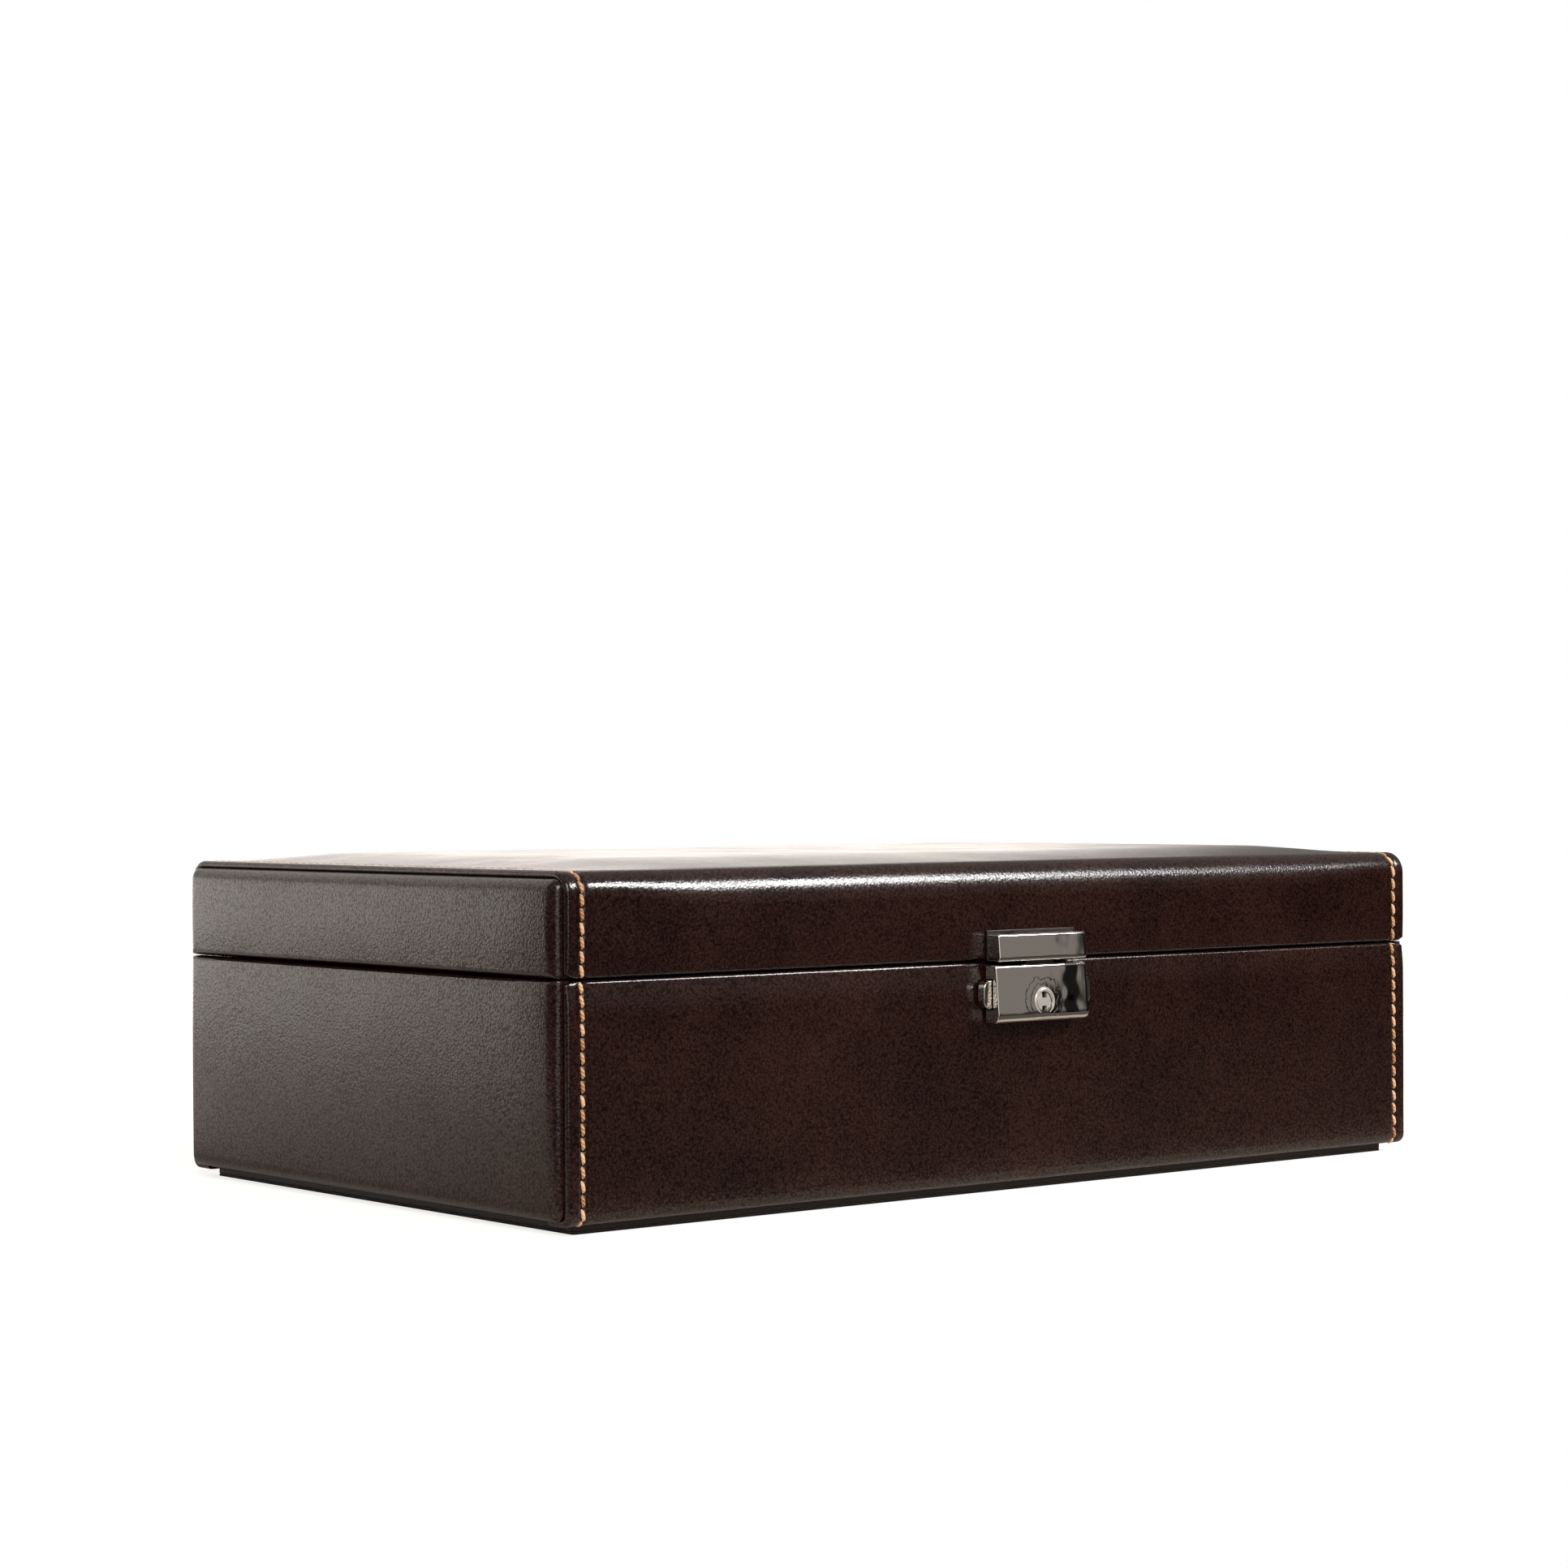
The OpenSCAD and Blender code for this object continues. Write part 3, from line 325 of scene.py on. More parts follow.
def zincMaterial():  # bright zinc plated steel wire and screws: bluish grey with a fine satin
    material, add, spot = newMaterial("zincPlate")
    spots = add("ShaderNodeTexNoise", Vector=spot, Scale=perMm(0.8), Detail=3.0)
    sheen = add("ShaderNodeMapRange", Value=spots.outputs["Fac"], To_Min=0.22, To_Max=0.42)
    shader = add("ShaderNodeBsdfPrincipled", Base_Color=linear("#b9bcbf"), Metallic=1.0, Roughness=sheen)
    add("ShaderNodeOutputMaterial", Surface=shader)
    return material


leather = leatherMaterial()
lockNickel = nickelMaterial("brightNickel", *nickelFinish["bright"])
plateNickel = nickelMaterial("satinNickel", *nickelFinish["satin"])
thread = threadMaterial()
velvet = velvetMaterial()
fibreboard, plinthPaper, felt, foam = (plainMaterial(name) for name in plainLooks)
zinc = zincMaterial()
print("materials made")


# mesh helpers
def toMesh(name, points, faces, weld=1e-6):  # closed mesh of points in mm, doubles merged, normals outwards
    mesh = bpy.data.meshes.new(name)
    mesh.from_pydata([(x * mm, y * mm, z * mm) for x, y, z in points], [], faces)
    work = bmesh.new()
    work.from_mesh(mesh)
    if weld:
        bmesh.ops.remove_doubles(work, verts=work.verts, dist=weld)
    bmesh.ops.recalc_face_normals(work, faces=work.faces)
    work.to_mesh(mesh)
    work.free()
    return mesh


def ringFaces(rings, count, closed=True):  # between rings of points, and over either end
    faces = [(k * count + i, k * count + (i + 1) % count, (k + 1) * count + (i + 1) % count,
              (k + 1) * count + i) for k in range(rings - 1) for i in range(count)]
    if closed:
        faces += [tuple(range(count)), tuple(range((rings - 1) * count, rings * count))]
    return faces


def gridBlock(points, across, up, toBack):  # points and faces of a grid of points with a flat back
    faces = [(j * across + i, j * across + i + 1, (j + 1) * across + i + 1, (j + 1) * across + i)
             for j in range(up - 1) for i in range(across - 1)]
    ring = list(range(across)) + [j * across + across - 1 for j in range(1, up)]
    ring += [(up - 1) * across + i for i in reversed(range(across - 1))]
    ring += [j * across for j in reversed(range(1, up - 1))]
    back, count = len(points), len(ring)
    faces += [(ring[(k + 1) % count], ring[k], back + k, back + (k + 1) % count) for k in range(count)]
    faces.append(tuple(back + k for k in range(count)))
    return points + [toBack(*points[i]) for i in ring], faces


def smooth(mesh, sharpAngle=None):  # smooth shading, with edges above this angle left sharp
    mesh.polygons.foreach_set("use_smooth", [True] * len(mesh.polygons))
    if sharpAngle:
        work = bmesh.new()
        work.from_mesh(mesh)
        for edge in work.edges:
            if edge.is_manifold and edge.calc_face_angle(0) > radians(sharpAngle):
                edge.smooth = False
        work.to_mesh(mesh)
        work.free()
    return mesh


def place(mesh, body, material, nodes=(), hard=False):  # object at the origin, riding its body
    piece = bpy.data.objects.new(mesh.name, mesh)
    bpy.context.collection.objects.link(piece)
    mesh.materials.clear()
    mesh.materials.append(material)
    if hard:
        weighted = piece.modifiers.new("weightedNormals", "WEIGHTED_NORMAL")
        weighted.keep_sharp = True
    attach(piece, body)
    if nodes:
        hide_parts(*nodes)
    return piece


def arcPoints(centre, radius, start, end, steps):
    return [(centre[0] + radius * cos(radians(start + (end - start) * i / steps)),
             centre[1] + radius * sin(radians(start + (end - start) * i / steps))) for i in range(steps + 1)]


def roundedRect(low, high, radii, steps=5):  # anticlockwise from the low left, a radius for each corner
    (a0, b0), (a1, b1) = low, high
    r = [max(v, 0.02) for v in radii]
    return (arcPoints((a0 + r[0], b0 + r[0]), r[0], 180, 270, steps)
            + arcPoints((a1 - r[1], b0 + r[1]), r[1], 270, 360, steps)
            + arcPoints((a1 - r[2], b1 - r[2]), r[2], 0, 90, steps)
            + arcPoints((a0 + r[3], b1 - r[3]), r[3], 90, 180, steps))


def insetOutline(outline, distance):  # moves each point of an anticlockwise outline inwards
    points = np.array(outline)
    before = points - np.roll(points, 1, axis=0)
    after = np.roll(points, -1, axis=0) - points
    before /= np.linalg.norm(before, axis=1)[:, None] + 1e-12
    after /= np.linalg.norm(after, axis=1)[:, None] + 1e-12
    left = np.stack([-(before + after)[:, 1], (before + after)[:, 0]], axis=1)
    left /= np.linalg.norm(left, axis=1)[:, None] + 1e-12
    spread = np.maximum(np.abs(left[:, 0] * -before[:, 1] + left[:, 1] * before[:, 0]), 0.4)
    return points + left * (distance / spread)[:, None]


def filletPrism(name, outline, low, high, fillet, axis, steps=4):
    # Outline extruded along an axis, its two end edges rounded. axis x: (y, z); y: (x, z); z: (x, y)
    turns = [90 * i / steps for i in range(steps + 1)]
    rings = [(low + fillet * (1 - cos(radians(a))), fillet * (1 - sin(radians(a)))) for a in turns]
    rings += [(high - (c - low), i) for c, i in reversed(rings)]
    points, outer = [], np.array(outline)
    middle, half = (outer.max(axis=0) + outer.min(axis=0)) / 2, np.ptp(outer, axis=0) / 2
    for level, inset in rings:
        for a, b in middle + (outer - middle) * (1 - inset / half):
            points.append({"x": (level, a, b), "y": (a, level, b), "z": (a, b, level)}[axis])
    return toMesh(name, points, ringFaces(len(rings), len(outer)), 1e-7)


def mark(mesh, name, value):
    values = value if isinstance(value, list) else [value] * len(mesh.vertices)
    mesh.attributes.new(name, "FLOAT", "POINT").data.foreach_set("value", values)


def lathe(profile, centre, steps=48, closed=True):  # profile of (radius, depth) turned about -Y
    points = []
    for r, d in profile:
        for k in range(steps):
            a = 2 * pi * k / steps
            points.append((centre[0] + r * cos(a), centre[1] - d, centre[2] + r * sin(a)))
    return points, ringFaces(len(profile), steps, closed)


def joined(name, *meshes):
    work = bmesh.new()
    for mesh in meshes:
        work.from_mesh(mesh)
    result = bpy.data.meshes.new(name)
    work.to_mesh(result)
    work.free()
    return result


def cutAway(mesh, *cutters):  # exact boolean difference, one cutter after another
    for cutter in cutters:
        whole = bpy.data.objects.new("whole", mesh)
        tool = bpy.data.objects.new("tool", cutter)
        for thing in (whole, tool):
            bpy.context.collection.objects.link(thing)
        cut = whole.modifiers.new("cut", "BOOLEAN")
        cut.operation = "DIFFERENCE"
        cut.solver = "EXACT"
        cut.object = tool
        result = bpy.data.meshes.new_from_object(whole.evaluated_get(bpy.context.evaluated_depsgraph_get()))
        result.name = mesh.name
        bpy.data.objects.remove(whole)
        bpy.data.objects.remove(tool)
        mesh = result
    return mesh


def bevelledCopy(node, width, steps=2):  # copy of a CAD node with its sharp edges rounded
    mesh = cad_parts[node].data.copy()
    mesh.name = node + "_rounded"
    work = bmesh.new()
    work.from_mesh(mesh)
    bmesh.ops.remove_doubles(work, verts=work.verts, dist=1e-6)
    bmesh.ops.dissolve_limit(work, angle_limit=radians(2), verts=work.verts, edges=work.edges)
    sharp = [e for e in work.edges if e.is_manifold and e.calc_face_angle(0) > radians(40)]
    bmesh.ops.bevel(work, geom=sharp, offset=width * mm, segments=steps, profile=0.5, affect="EDGES",
                    clamp_overlap=True)
    work.to_mesh(mesh)
    work.free()
    return smooth(mesh, 38)


def blendTo(t):  # smooth step, clamped
    t = np.clip(t, 0, 1)
    return t * t * (3 - 2 * t)


def ripple(points, size, seed):  # smooth noise from -1 to 1 at points in mm
    shift = Vector((seed * 17.3, seed * 5.1, seed * 9.7))
    return np.array([noise.noise(Vector(p) / size + shift) for p in points])


# leatherette wraps
stitching = {
    "inset": 4.6,        # from the hem's edge to the needle line
    "pitch": {-1: 3.4, 1: 3.65},   # left line and right line
    "threadWidth": 1.1,
    "threadHeight": 0.74,
    "fill": 0.9,         # length of a stitch, as a share of the pitch
    "slant": 6.0,        # degrees, each stitch leans off its line
    "groove": 0.55,      # depth of the line that the thread pulls in
    "grooveWidth": 0.8,
    "hole": 0.4,         # extra depth at each needle hole
    "holeRadius": 0.5,
}
wrapForm = {
    "lidRound": ((5.8, 5.8), (6.6, 9.0)),   # long edges: depth and height of the rounding, at the
    "footRound": ((2.8, 2.8), (3.2, 3.2)),   # hems and where padding softens it
    "lidRimRound": 0.9,       # rounding where lid and base meet
    "baseRimRound": 0.8,
    "rimLift": (0.2, 0.4),    # how far the soft rims of base and lid bulge into the gap
    "rimTouch": 0.55,         # and how far the turned-in leather behind them does
    "rimEase": (0.9, 0.3),    # how far the faces of base and lid fall back towards the rims
    "easeRun": 9.0,           # and over what distance
    "hemEdge": 1.1,           # rounding of the folded hem
    "padRun": 30.0,           # distance over which the lid's padding rises
    "soften": (4, 40),        # the hems' rounding turns into the softer one from so far in, over this run
    "tuck": (2.1, 9, 8),      # the turned-in flange is this much shorter at each end, from so far in
    "flapRun": 18,            # width of the base's corner flaps
    "rowStep": 0.33,          # between rows of points, so that needle holes show
    "ripple": 0.07,           # slow waves of leather on board
    "rippleSize": (24, 10),
    "hemPuff": 0.08,          # the hem swells between its edge and the needle line
    "hingeRoom": 24.0,        # half width of the flat place in the rear rim at each hinge
}
hingeX = abs(span("hinge_pin_left")[0][0] + span("hinge_pin_left")[1][0]) / 2


def wrapColumns(hemX, seamX):  # x of the columns, close together at the hems and needle lines
    near = [hemX - v for v in (1.45, 1.9, 2.5, 3.1, 3.6)]
    seam = [seamX + v for v in (0.9, 0.6, 0.3, 0, -0.3, -0.6, -0.9, -1.4, -2.1, -3.2, -5.0, -8.0)]
    wide = list(np.arange(seamX - 14, 0, -9.5))
    right = [v for v in near if v > seam[0] + 0.2] + seam + wide
    return np.array([-v for v in right] + [0.0] + sorted(right))


def wrapRows(farDepth, height, seamStep, tuckY):
    # (section, share along it) of each row: 0 flange, 1 rim, 2 front, 3 edge, 4 far face, 5 to 8 the rear
    flat = (height - 7) / seamStep
    far = list(np.linspace(0, 1, round(farDepth / (seamStep * 1.6)), endpoint=False))
    if tuckY:  # rows close before and behind the edge of each flap
        edges = [0.5 - v / farDepth for v in (tuckY + 0.05, tuckY - 0.05)]
        far = [v for v in far if min(abs(v - e) for e in edges + [1 - e for e in edges]) > 0.001]
        far = sorted(far + edges + [1 - e for e in edges])
    counts = {0: 4, 1: 7, 2: round(flat), 3: 16, 5: 16, 6: round(flat), 7: 7, 8: 4}
    rows = []
    for section in range(9):
        shares = far if section == 4 else [i / counts[section] for i in range(counts[section])]
        rows += [(section, f) for f in shares]
    return rows + [(8, 1.0)]


def halfRow(section, f):  # a row behind the middle is worked out as its partner in front
    return (section, f) if section <= 4 else (8 - section, 1 - f)


def wrapSection(rows, x, depthY, height, flangeY, r, tall, rim, soft):
    # Outer points and normals in (y, w), w running from the rim's plane to the far face
    p = np.zeros((len(rows), len(x), 2))
    n = np.zeros_like(p)
    away = np.clip((np.abs(np.abs(x) - hingeX) - wrapForm["hingeRoom"]) / 6, 0, 1)
    for i, (section, f) in enumerate(rows):
        side = -1 if section <= 4 else 1
        s, g = halfRow(section, f)
        if s == 0:
            y, w, ny, nw = flangeY + (depthY - rim - flangeY) * g, 0, 0, -1
        elif s == 1:
            a = radians(90 * g)
            y, w, ny, nw = depthY - rim + rim * sin(a), rim - rim * cos(a), sin(a), -cos(a)
        elif s == 2:
            y, w, ny, nw = depthY, rim + (height - tall - rim) * g, 1, 0
        elif s == 3:
            a = radians(90 * g)
            y, w = depthY - r + r * cos(a), height - tall + tall * sin(a)
            lean = np.hypot(cos(a) * tall, sin(a) * r)
            ny, nw = cos(a) * tall / lean, sin(a) * r / lean
        else:
            y, w, ny, nw = (depthY - r) * (1 - 2 * f), height, 0, 1
            side = -1
        bulge = wrapForm["rimLift"][soft]
        if s == 0:
            bulge = wrapForm["rimTouch"] - (wrapForm["rimTouch"] - bulge) * g
        lift = bulge * (1 if side < 0 else away) * (1 - blendTo(np.array(w / (rim + 1.5))))
        fall = np.clip(1 - w / wrapForm["easeRun"], 0, 1) ** 2
        ease = wrapForm["rimEase"][soft] * fall if s < 3 else 0
        p[i, :, 0], p[i, :, 1] = side * (y - ease), w - (lift if s < 3 else 0)
        n[i, :, 0], n[i, :, 1] = side * ny, nw
    return p, n


def innerSection(rows, boardY, height, thick, turnIn, flangeY, boardRound, rim):
    q = np.zeros((len(rows), 2))
    top = height - thick
    for i, (section, f) in enumerate(rows):
        side = -1 if section <= 4 else 1
        s, g = halfRow(section, f)
        if s == 0:
            y, w = min(flangeY + (boardY + thick - rim - flangeY) * g, boardY), turnIn
        elif s == 1:
            y, w = boardY, turnIn + max(rim - turnIn, 0.01) * g
        elif s == 2:
            y, w = boardY, rim + (top - boardRound - rim) * g
        elif s == 3:
            a = radians(90 * g)
            y, w = boardY - boardRound * (1 - cos(a)), top - boardRound * (1 - sin(a))
        else:
            y, w, side = (boardY - boardRound) * (1 - 2 * f), top, -1
        q[i] = side * y, w
    return q


def padRise(x, y, seamX, edgeY, run, rise):  # the lid's padded top, held down at its edges
    u = np.sin(pi / 2 * np.clip((seamX - 0.7 - np.abs(x)) / run, 0, 1))
    v = np.sin(pi / 2 * np.clip((edgeY - np.abs(y)) / run, 0, 1))
    return rise * u * v


def rowStations(x, hemX):  # x and depth into the leather of each point of a row, outside, fold, inside, fold
    edge, thick = wrapForm["hemEdge"], caseSize["wrapThick"]
    folds = [(hemX - edge + edge * sin(radians(a)), edge * (1 - cos(radians(a))) / thick)
             for a in (0, 15, 30, 45, 60, 75, 90)]
    folds += [(hemX - 0.08, 0.93), (hemX - 0.3, 1.0)]
    inside = [(v, 1.0) for v in np.linspace(hemX - 3, -(hemX - 3), 15)]
    return [(v, 0.0) for v in x] + folds + inside + [(-v, q) for v, q in reversed(folds)]


def needleRuns(rows, p, tuckY):  # rows under each run of stitches
    sewn = [i for i, (section, f) in enumerate(rows)
            if 2 <= section <= 6 or (section == 1 and f > 0.2) or (section == 7 and f < 0.8)]
    if not tuckY:
        return [sewn]
    flaps = [i for i in sewn if not (rows[i][0] == 4 and abs(p[i, 0, 0]) < tuckY + 1.5)]
    split = next(k for k in range(1, len(flaps)) if flaps[k] != flaps[k - 1] + 1)
    return [flaps[:split], flaps[split:]]


def needleHoles(runs, x, off, along):  # share of a needle hole at each point, and which rows are sewn
    hole, sewn = np.zeros((len(along), len(x))), np.zeros(len(along))
    for run in runs:
        sewn[run] = 1
        for side, step in stitching["pitch"].items():
            length = along[run[-1]] - along[run[0]]
            pitch = length / round(length / step)  # whole stitches
            stitchAt = (along[run] - along[run[0]]) / pitch
            nearest = np.abs(stitchAt - np.round(stitchAt)) * pitch
            onSide = np.where(x * side > 0)[0]
            far = np.hypot(off[onSide][None, :], nearest[:, None])
            hole[np.ix_(run, onSide)] = np.exp(-(far / stitching["holeRadius"]) ** 2)
    return hole, sewn


def wrapPiece(name, body, node, rimZ, farZ, up, flangeY, peak, roundPair, rim, tuckY, seed):
    c, form, sew = caseSize, wrapForm, stitching
    hemX, depthY, height = c["hemX"], c["wrapY"], abs(farZ - rimZ)
    seamX = hemX - sew["inset"]
    x = wrapColumns(hemX, seamX)
    hemRound = roundPair[0][0]
    rows = wrapRows(2 * (depthY - hemRound), height, form["rowStep"], tuckY)
    softFrom, softRun = form["soften"]
    soften = blendTo((seamX - softFrom - np.abs(x)) / softRun)
    across, tall = (a + (b - a) * soften for a, b in zip(*roundPair))
    p, n = wrapSection(rows, x, depthY, height, flangeY, across, tall, rim, int(body == "lid"))
    inner = innerSection(rows, c["boardY"], height, c["wrapThick"] - 0.03, c["turnIn"] - 0.02, flangeY,
                         hemRound - c["wrapThick"], rim)

    seam = {side: int(np.argmin(np.abs(x - side * seamX))) for side in (-1, 1)}
    along = np.concatenate([[0], np.cumsum(np.linalg.norm(np.diff(p[:, seam[1]], axis=0), axis=1))])
    off = np.abs(np.abs(x) - seamX)
    groove = np.exp(-(off / sew["grooveWidth"]) ** 2)
    runs = needleRuns(rows, p, tuckY)
    hole, sewn = needleHoles(runs, x, off, along)
    sink = sew["groove"] * groove[None, :] * sewn[:, None] + sew["hole"] * hole
    puff = form["hemPuff"] * np.sin(pi * np.clip((hemX - 0.4 - np.abs(x)) / (sew["inset"] - 1.2), 0, 1))
    face = np.array([1.0 if 2 <= s <= 6 else 0.0 for s, f in rows])
    xx = np.broadcast_to(x, p.shape[:2])
    flat = np.stack([xx.ravel(), p[:, :, 0].ravel(), p[:, :, 1].ravel()], axis=1)
    coarse, fine = form["rippleSize"]
    waves = (ripple(flat, coarse, seed) + 0.5 * ripple(flat, fine, seed + 3)).reshape(xx.shape)
    waves = waves * form["ripple"]
    bulge = (waves + puff[None, :]) * face[:, None] * (1 - groove[None, :])
    outer = p + n * (bulge - sink)[:, :, None]
    lift = padRise(xx, p[:, :, 0], seamX, depthY - hemRound, form["padRun"], peak)
    top = np.array([1.0 if s in (3, 4, 5) else 0.0 for s, f in rows])[:, None]
    outer[:, :, 1] += lift * top
    # how much painted shade each point gets: along the sunk needle line and in its holes
    pinch = np.clip(0.75 * groove[None, :] * sewn[:, None] + hole, 0, 1)

    stations = rowStations(x, hemX)
    points, marks = [], []
    flap = form["flapRun"]
    tuck, tuckFrom, tuckRun = form["tuck"]
    for i, (section, f) in enumerate(rows):
        s, g = halfRow(section, f)
        short = tuck * (1 - blendTo(np.array(g)).item()) if s == 1 else (tuck if s == 0 else 0.0)
        # under the base the skin stops at the end boards, between the two flaps
        stopped = s == 4 and tuckY and abs(p[i, 0, 0]) < tuckY
        squeeze = (c["baseInX"] - 0.1 - (hemX - flap)) / flap if stopped else 1
        for k, (sx, depth) in enumerate(stations):
            column = k if k < len(x) else (len(x) - 1 if sx > 0 else 0)
            oy, ow = outer[i, column]
            iy, iw = inner[i]
            if up > 0 and s == 4:
                iw += float(padRise(np.array(sx), np.array(iy), seamX, depthY - hemRound, form["padRun"],
                                    peak))
            y, w = oy + (iy - oy) * depth, ow + (iw - ow) * depth
            out = abs(sx) - short * float(blendTo(np.array((abs(sx) - (hemX - tuckFrom)) / tuckRun)))
            out = hemX - flap + (out - hemX + flap) * squeeze if out > hemX - flap else out
            points.append((out if sx > 0 else -out, y, rimZ + up * w))
            # the hem's fold and the inside get a little painted shade
            marks.append(float(pinch[i, column]) if k < len(x) else 0.15)
    mesh = toMesh(name, points, ringFaces(len(rows), len(stations)), 0)
    mark(mesh, "pinch", marks)
    smooth(mesh, 60)
    piece = place(mesh, body, leather, [node])

    # the needle lines' own points on the unsunk leather, with the way out of it
    paths = {}
    for side in (-1, 1):
        column = seam[side]
        paths[side] = []
        for run in runs:
            line = []
            for i in run:
                y, w = outer[i, column] + n[i, column] * sink[i, column]
                line.append(((side * seamX, y, rimZ + up * w), (0, n[i, column, 0], up * n[i, column, 1])))
            paths[side].append(line)
    return piece, paths


baseWrap, basePaths = wrapPiece(
    "leatherBaseWrap", "base", "base_wrap", rimZ=caseSize["baseRim"], farZ=caseSize["baseFoot"], up=-1,
    flangeY=caseSize["baseInY"], peak=0.0, roundPair=wrapForm["footRound"], rim=wrapForm["baseRimRound"],
    tuckY=caseSize["baseInY"], seed=1)
lidWrap, lidPaths = wrapPiece(
    "leatherLidWrap", "lid", "lid_wrap", rimZ=caseSize["lidRim"], farZ=lidShoulder, up=1,
    flangeY=caseSize["lidInY"], peak=caseSize["lidPeak"] - lidShoulder, roundPair=wrapForm["lidRound"],
    rim=wrapForm["lidRimRound"], tuckY=0, seed=2)
print("wraps made:", len(baseWrap.data.polygons), len(lidWrap.data.polygons), "faces")


# stitches
def stitchShape():  # one stitch along X, its pitch as unit: flattened thread, thin ends in the needle holes
    sew = stitching
    rings, sides = 10, 8
    points, faces, uvs = [], [], []
    for i in range(rings + 1):
        u = 2 * i / rings - 1
        lift = -0.2 - 0.55 * abs(u) ** 4
        taper = 1 - 0.62 * abs(u) ** 3.5
        for k in range(sides):
            a = 2 * pi * k / sides
            points.append((u * sew["fill"] / 2, sew["threadWidth"] / 2 * taper * cos(a) * mm,
                           (lift + sew["threadHeight"] / 2 * taper * sin(a)) * mm))
    for i in range(rings):
        for k in range(sides):
            faces.append((i * sides + k, (i + 1) * sides + k, (i + 1) * sides + (k + 1) % sides,
                          i * sides + (k + 1) % sides))
            uvs.append([(i, k), (i + 1, k), (i + 1, k + 1), (i, k + 1)])
    faces.append(tuple(range(sides)))
    faces.append(tuple(rings * sides + k for k in reversed(range(sides))))
    uvs += [[(0, k) for k in range(sides)], [(rings, k) for k in range(sides)]]
    mesh = bpy.data.meshes.new("oneStitch")
    mesh.from_pydata(points, [], faces)
    layer = mesh.uv_layers.new(name="UVMap")
    layer.data.foreach_set("uv", [v for corner in uvs for i, k in corner
                                  for v in (i / rings * 3.4, k / sides * 3.0)])
    smooth(mesh)
    return mesh


def stitchTree(shape):  # instances one stitch along each line of the input, evenly, and realises them
    tree = bpy.data.node_groups.new("stitchRow", "GeometryNodeTree")
    add = partial(addNode, tree)
    for word, kind in {"Geometry": "Geometry", "Pitch": "Float", "Slant": "Float", "Unevenness": "Float",
                       "Seed": "Int", "Thread": "Material"}.items():
        tree.interface.new_socket(word, in_out="INPUT", socket_type="NodeSocket" + kind)
    tree.interface.new_socket("Geometry", in_out="OUTPUT", socket_type="NodeSocketGeometry")
    given = add("NodeGroupInput").outputs
    curve = add("GeometryNodeMeshToCurve", Mesh=given["Geometry"])
    length = add("GeometryNodeCurveLength", Curve=curve)
    lines = add("GeometryNodeAttributeDomainSize", {"component": "CURVE"}, Geometry=curve)
    lineCount = lines.outputs["Spline Count"]
    oneLine = add("ShaderNodeMath", "DIVIDE", i0=length, i1=lineCount)
    ratio = add("ShaderNodeMath", "DIVIDE", i0=oneLine, i1=given["Pitch"])
    perLine = add("ShaderNodeMath", "ROUND", i0=ratio)
    total = add("ShaderNodeMath", "MULTIPLY", i0=perLine, i1=lineCount)
    index = add("GeometryNodeInputIndex")
    line = add("ShaderNodeMath", "DIVIDE", i0=index, i1=perLine)
    line = add("ShaderNodeMath", "FLOOR", i0=line)
    within = add("ShaderNodeMath", "MODULO", i0=index, i1=perLine)
    within = add("ShaderNodeMath", "ADD", i0=within, i1=0.5)
    share = add("ShaderNodeMath", "DIVIDE", i0=within, i1=perLine)
    outward = add("GeometryNodeInputNamedAttribute", {"data_type": "FLOAT_VECTOR"}, Name="outward")
    perCurve = {"mode": "FACTOR", "use_all_curves": False, "data_type": "FLOAT_VECTOR"}
    sample = add("GeometryNodeSampleCurve", perCurve, Curves=curve, Value=outward, Factor=share,
                 Curve_Index=line)
    spots = add("GeometryNodePoints", Count=total, Position=sample.outputs["Position"])
    aim = add("FunctionNodeAlignRotationToVector", {"axis": "X"}, Vector=sample.outputs["Tangent"])
    aim = add("FunctionNodeAlignRotationToVector", {"axis": "Z", "pivot_axis": "X"}, Rotation=aim,
              Vector=sample.outputs["Value"])
    wobble = add("FunctionNodeRandomValue", {"data_type": "FLOAT"}, ID=index, Seed=given["Seed"])
    tilt = add("ShaderNodeMath", "MULTIPLY_ADD", i0=wobble.outputs["Value"], i1=given["Unevenness"],
               i2=given["Slant"])
    turn = add("ShaderNodeCombineXYZ", Z=tilt)
    turned = add("FunctionNodeEulerToRotation", Euler=turn)
    aimed = add("FunctionNodeRotateRotation", {"rotation_space": "LOCAL"}, Rotation=aim, Rotate_By=turned)
    one = add("GeometryNodeObjectInfo", Object=shape)
    long = add("ShaderNodeMath", "DIVIDE", i0=oneLine, i1=perLine)
    size = add("ShaderNodeCombineXYZ", X=long, Y=1.0, Z=1.0)
    rows = add("GeometryNodeInstanceOnPoints", Points=spots, Instance=one.outputs["Geometry"],
               Rotation=aimed, Scale=size)
    tint = add("FunctionNodeRandomValue", {"data_type": "FLOAT"}, ID=index, Seed=given["Seed"])
    shaded = add("GeometryNodeStoreNamedAttribute", {"data_type": "FLOAT", "domain": "INSTANCE"},
                 Geometry=rows, Name="shade", Value=tint.outputs["Value"])
    real = add("GeometryNodeRealizeInstances", Geometry=shaded)
    dressed = add("GeometryNodeSetMaterial", Geometry=real, Material=given["Thread"])
    add("NodeGroupOutput", i0=dressed)
    return tree


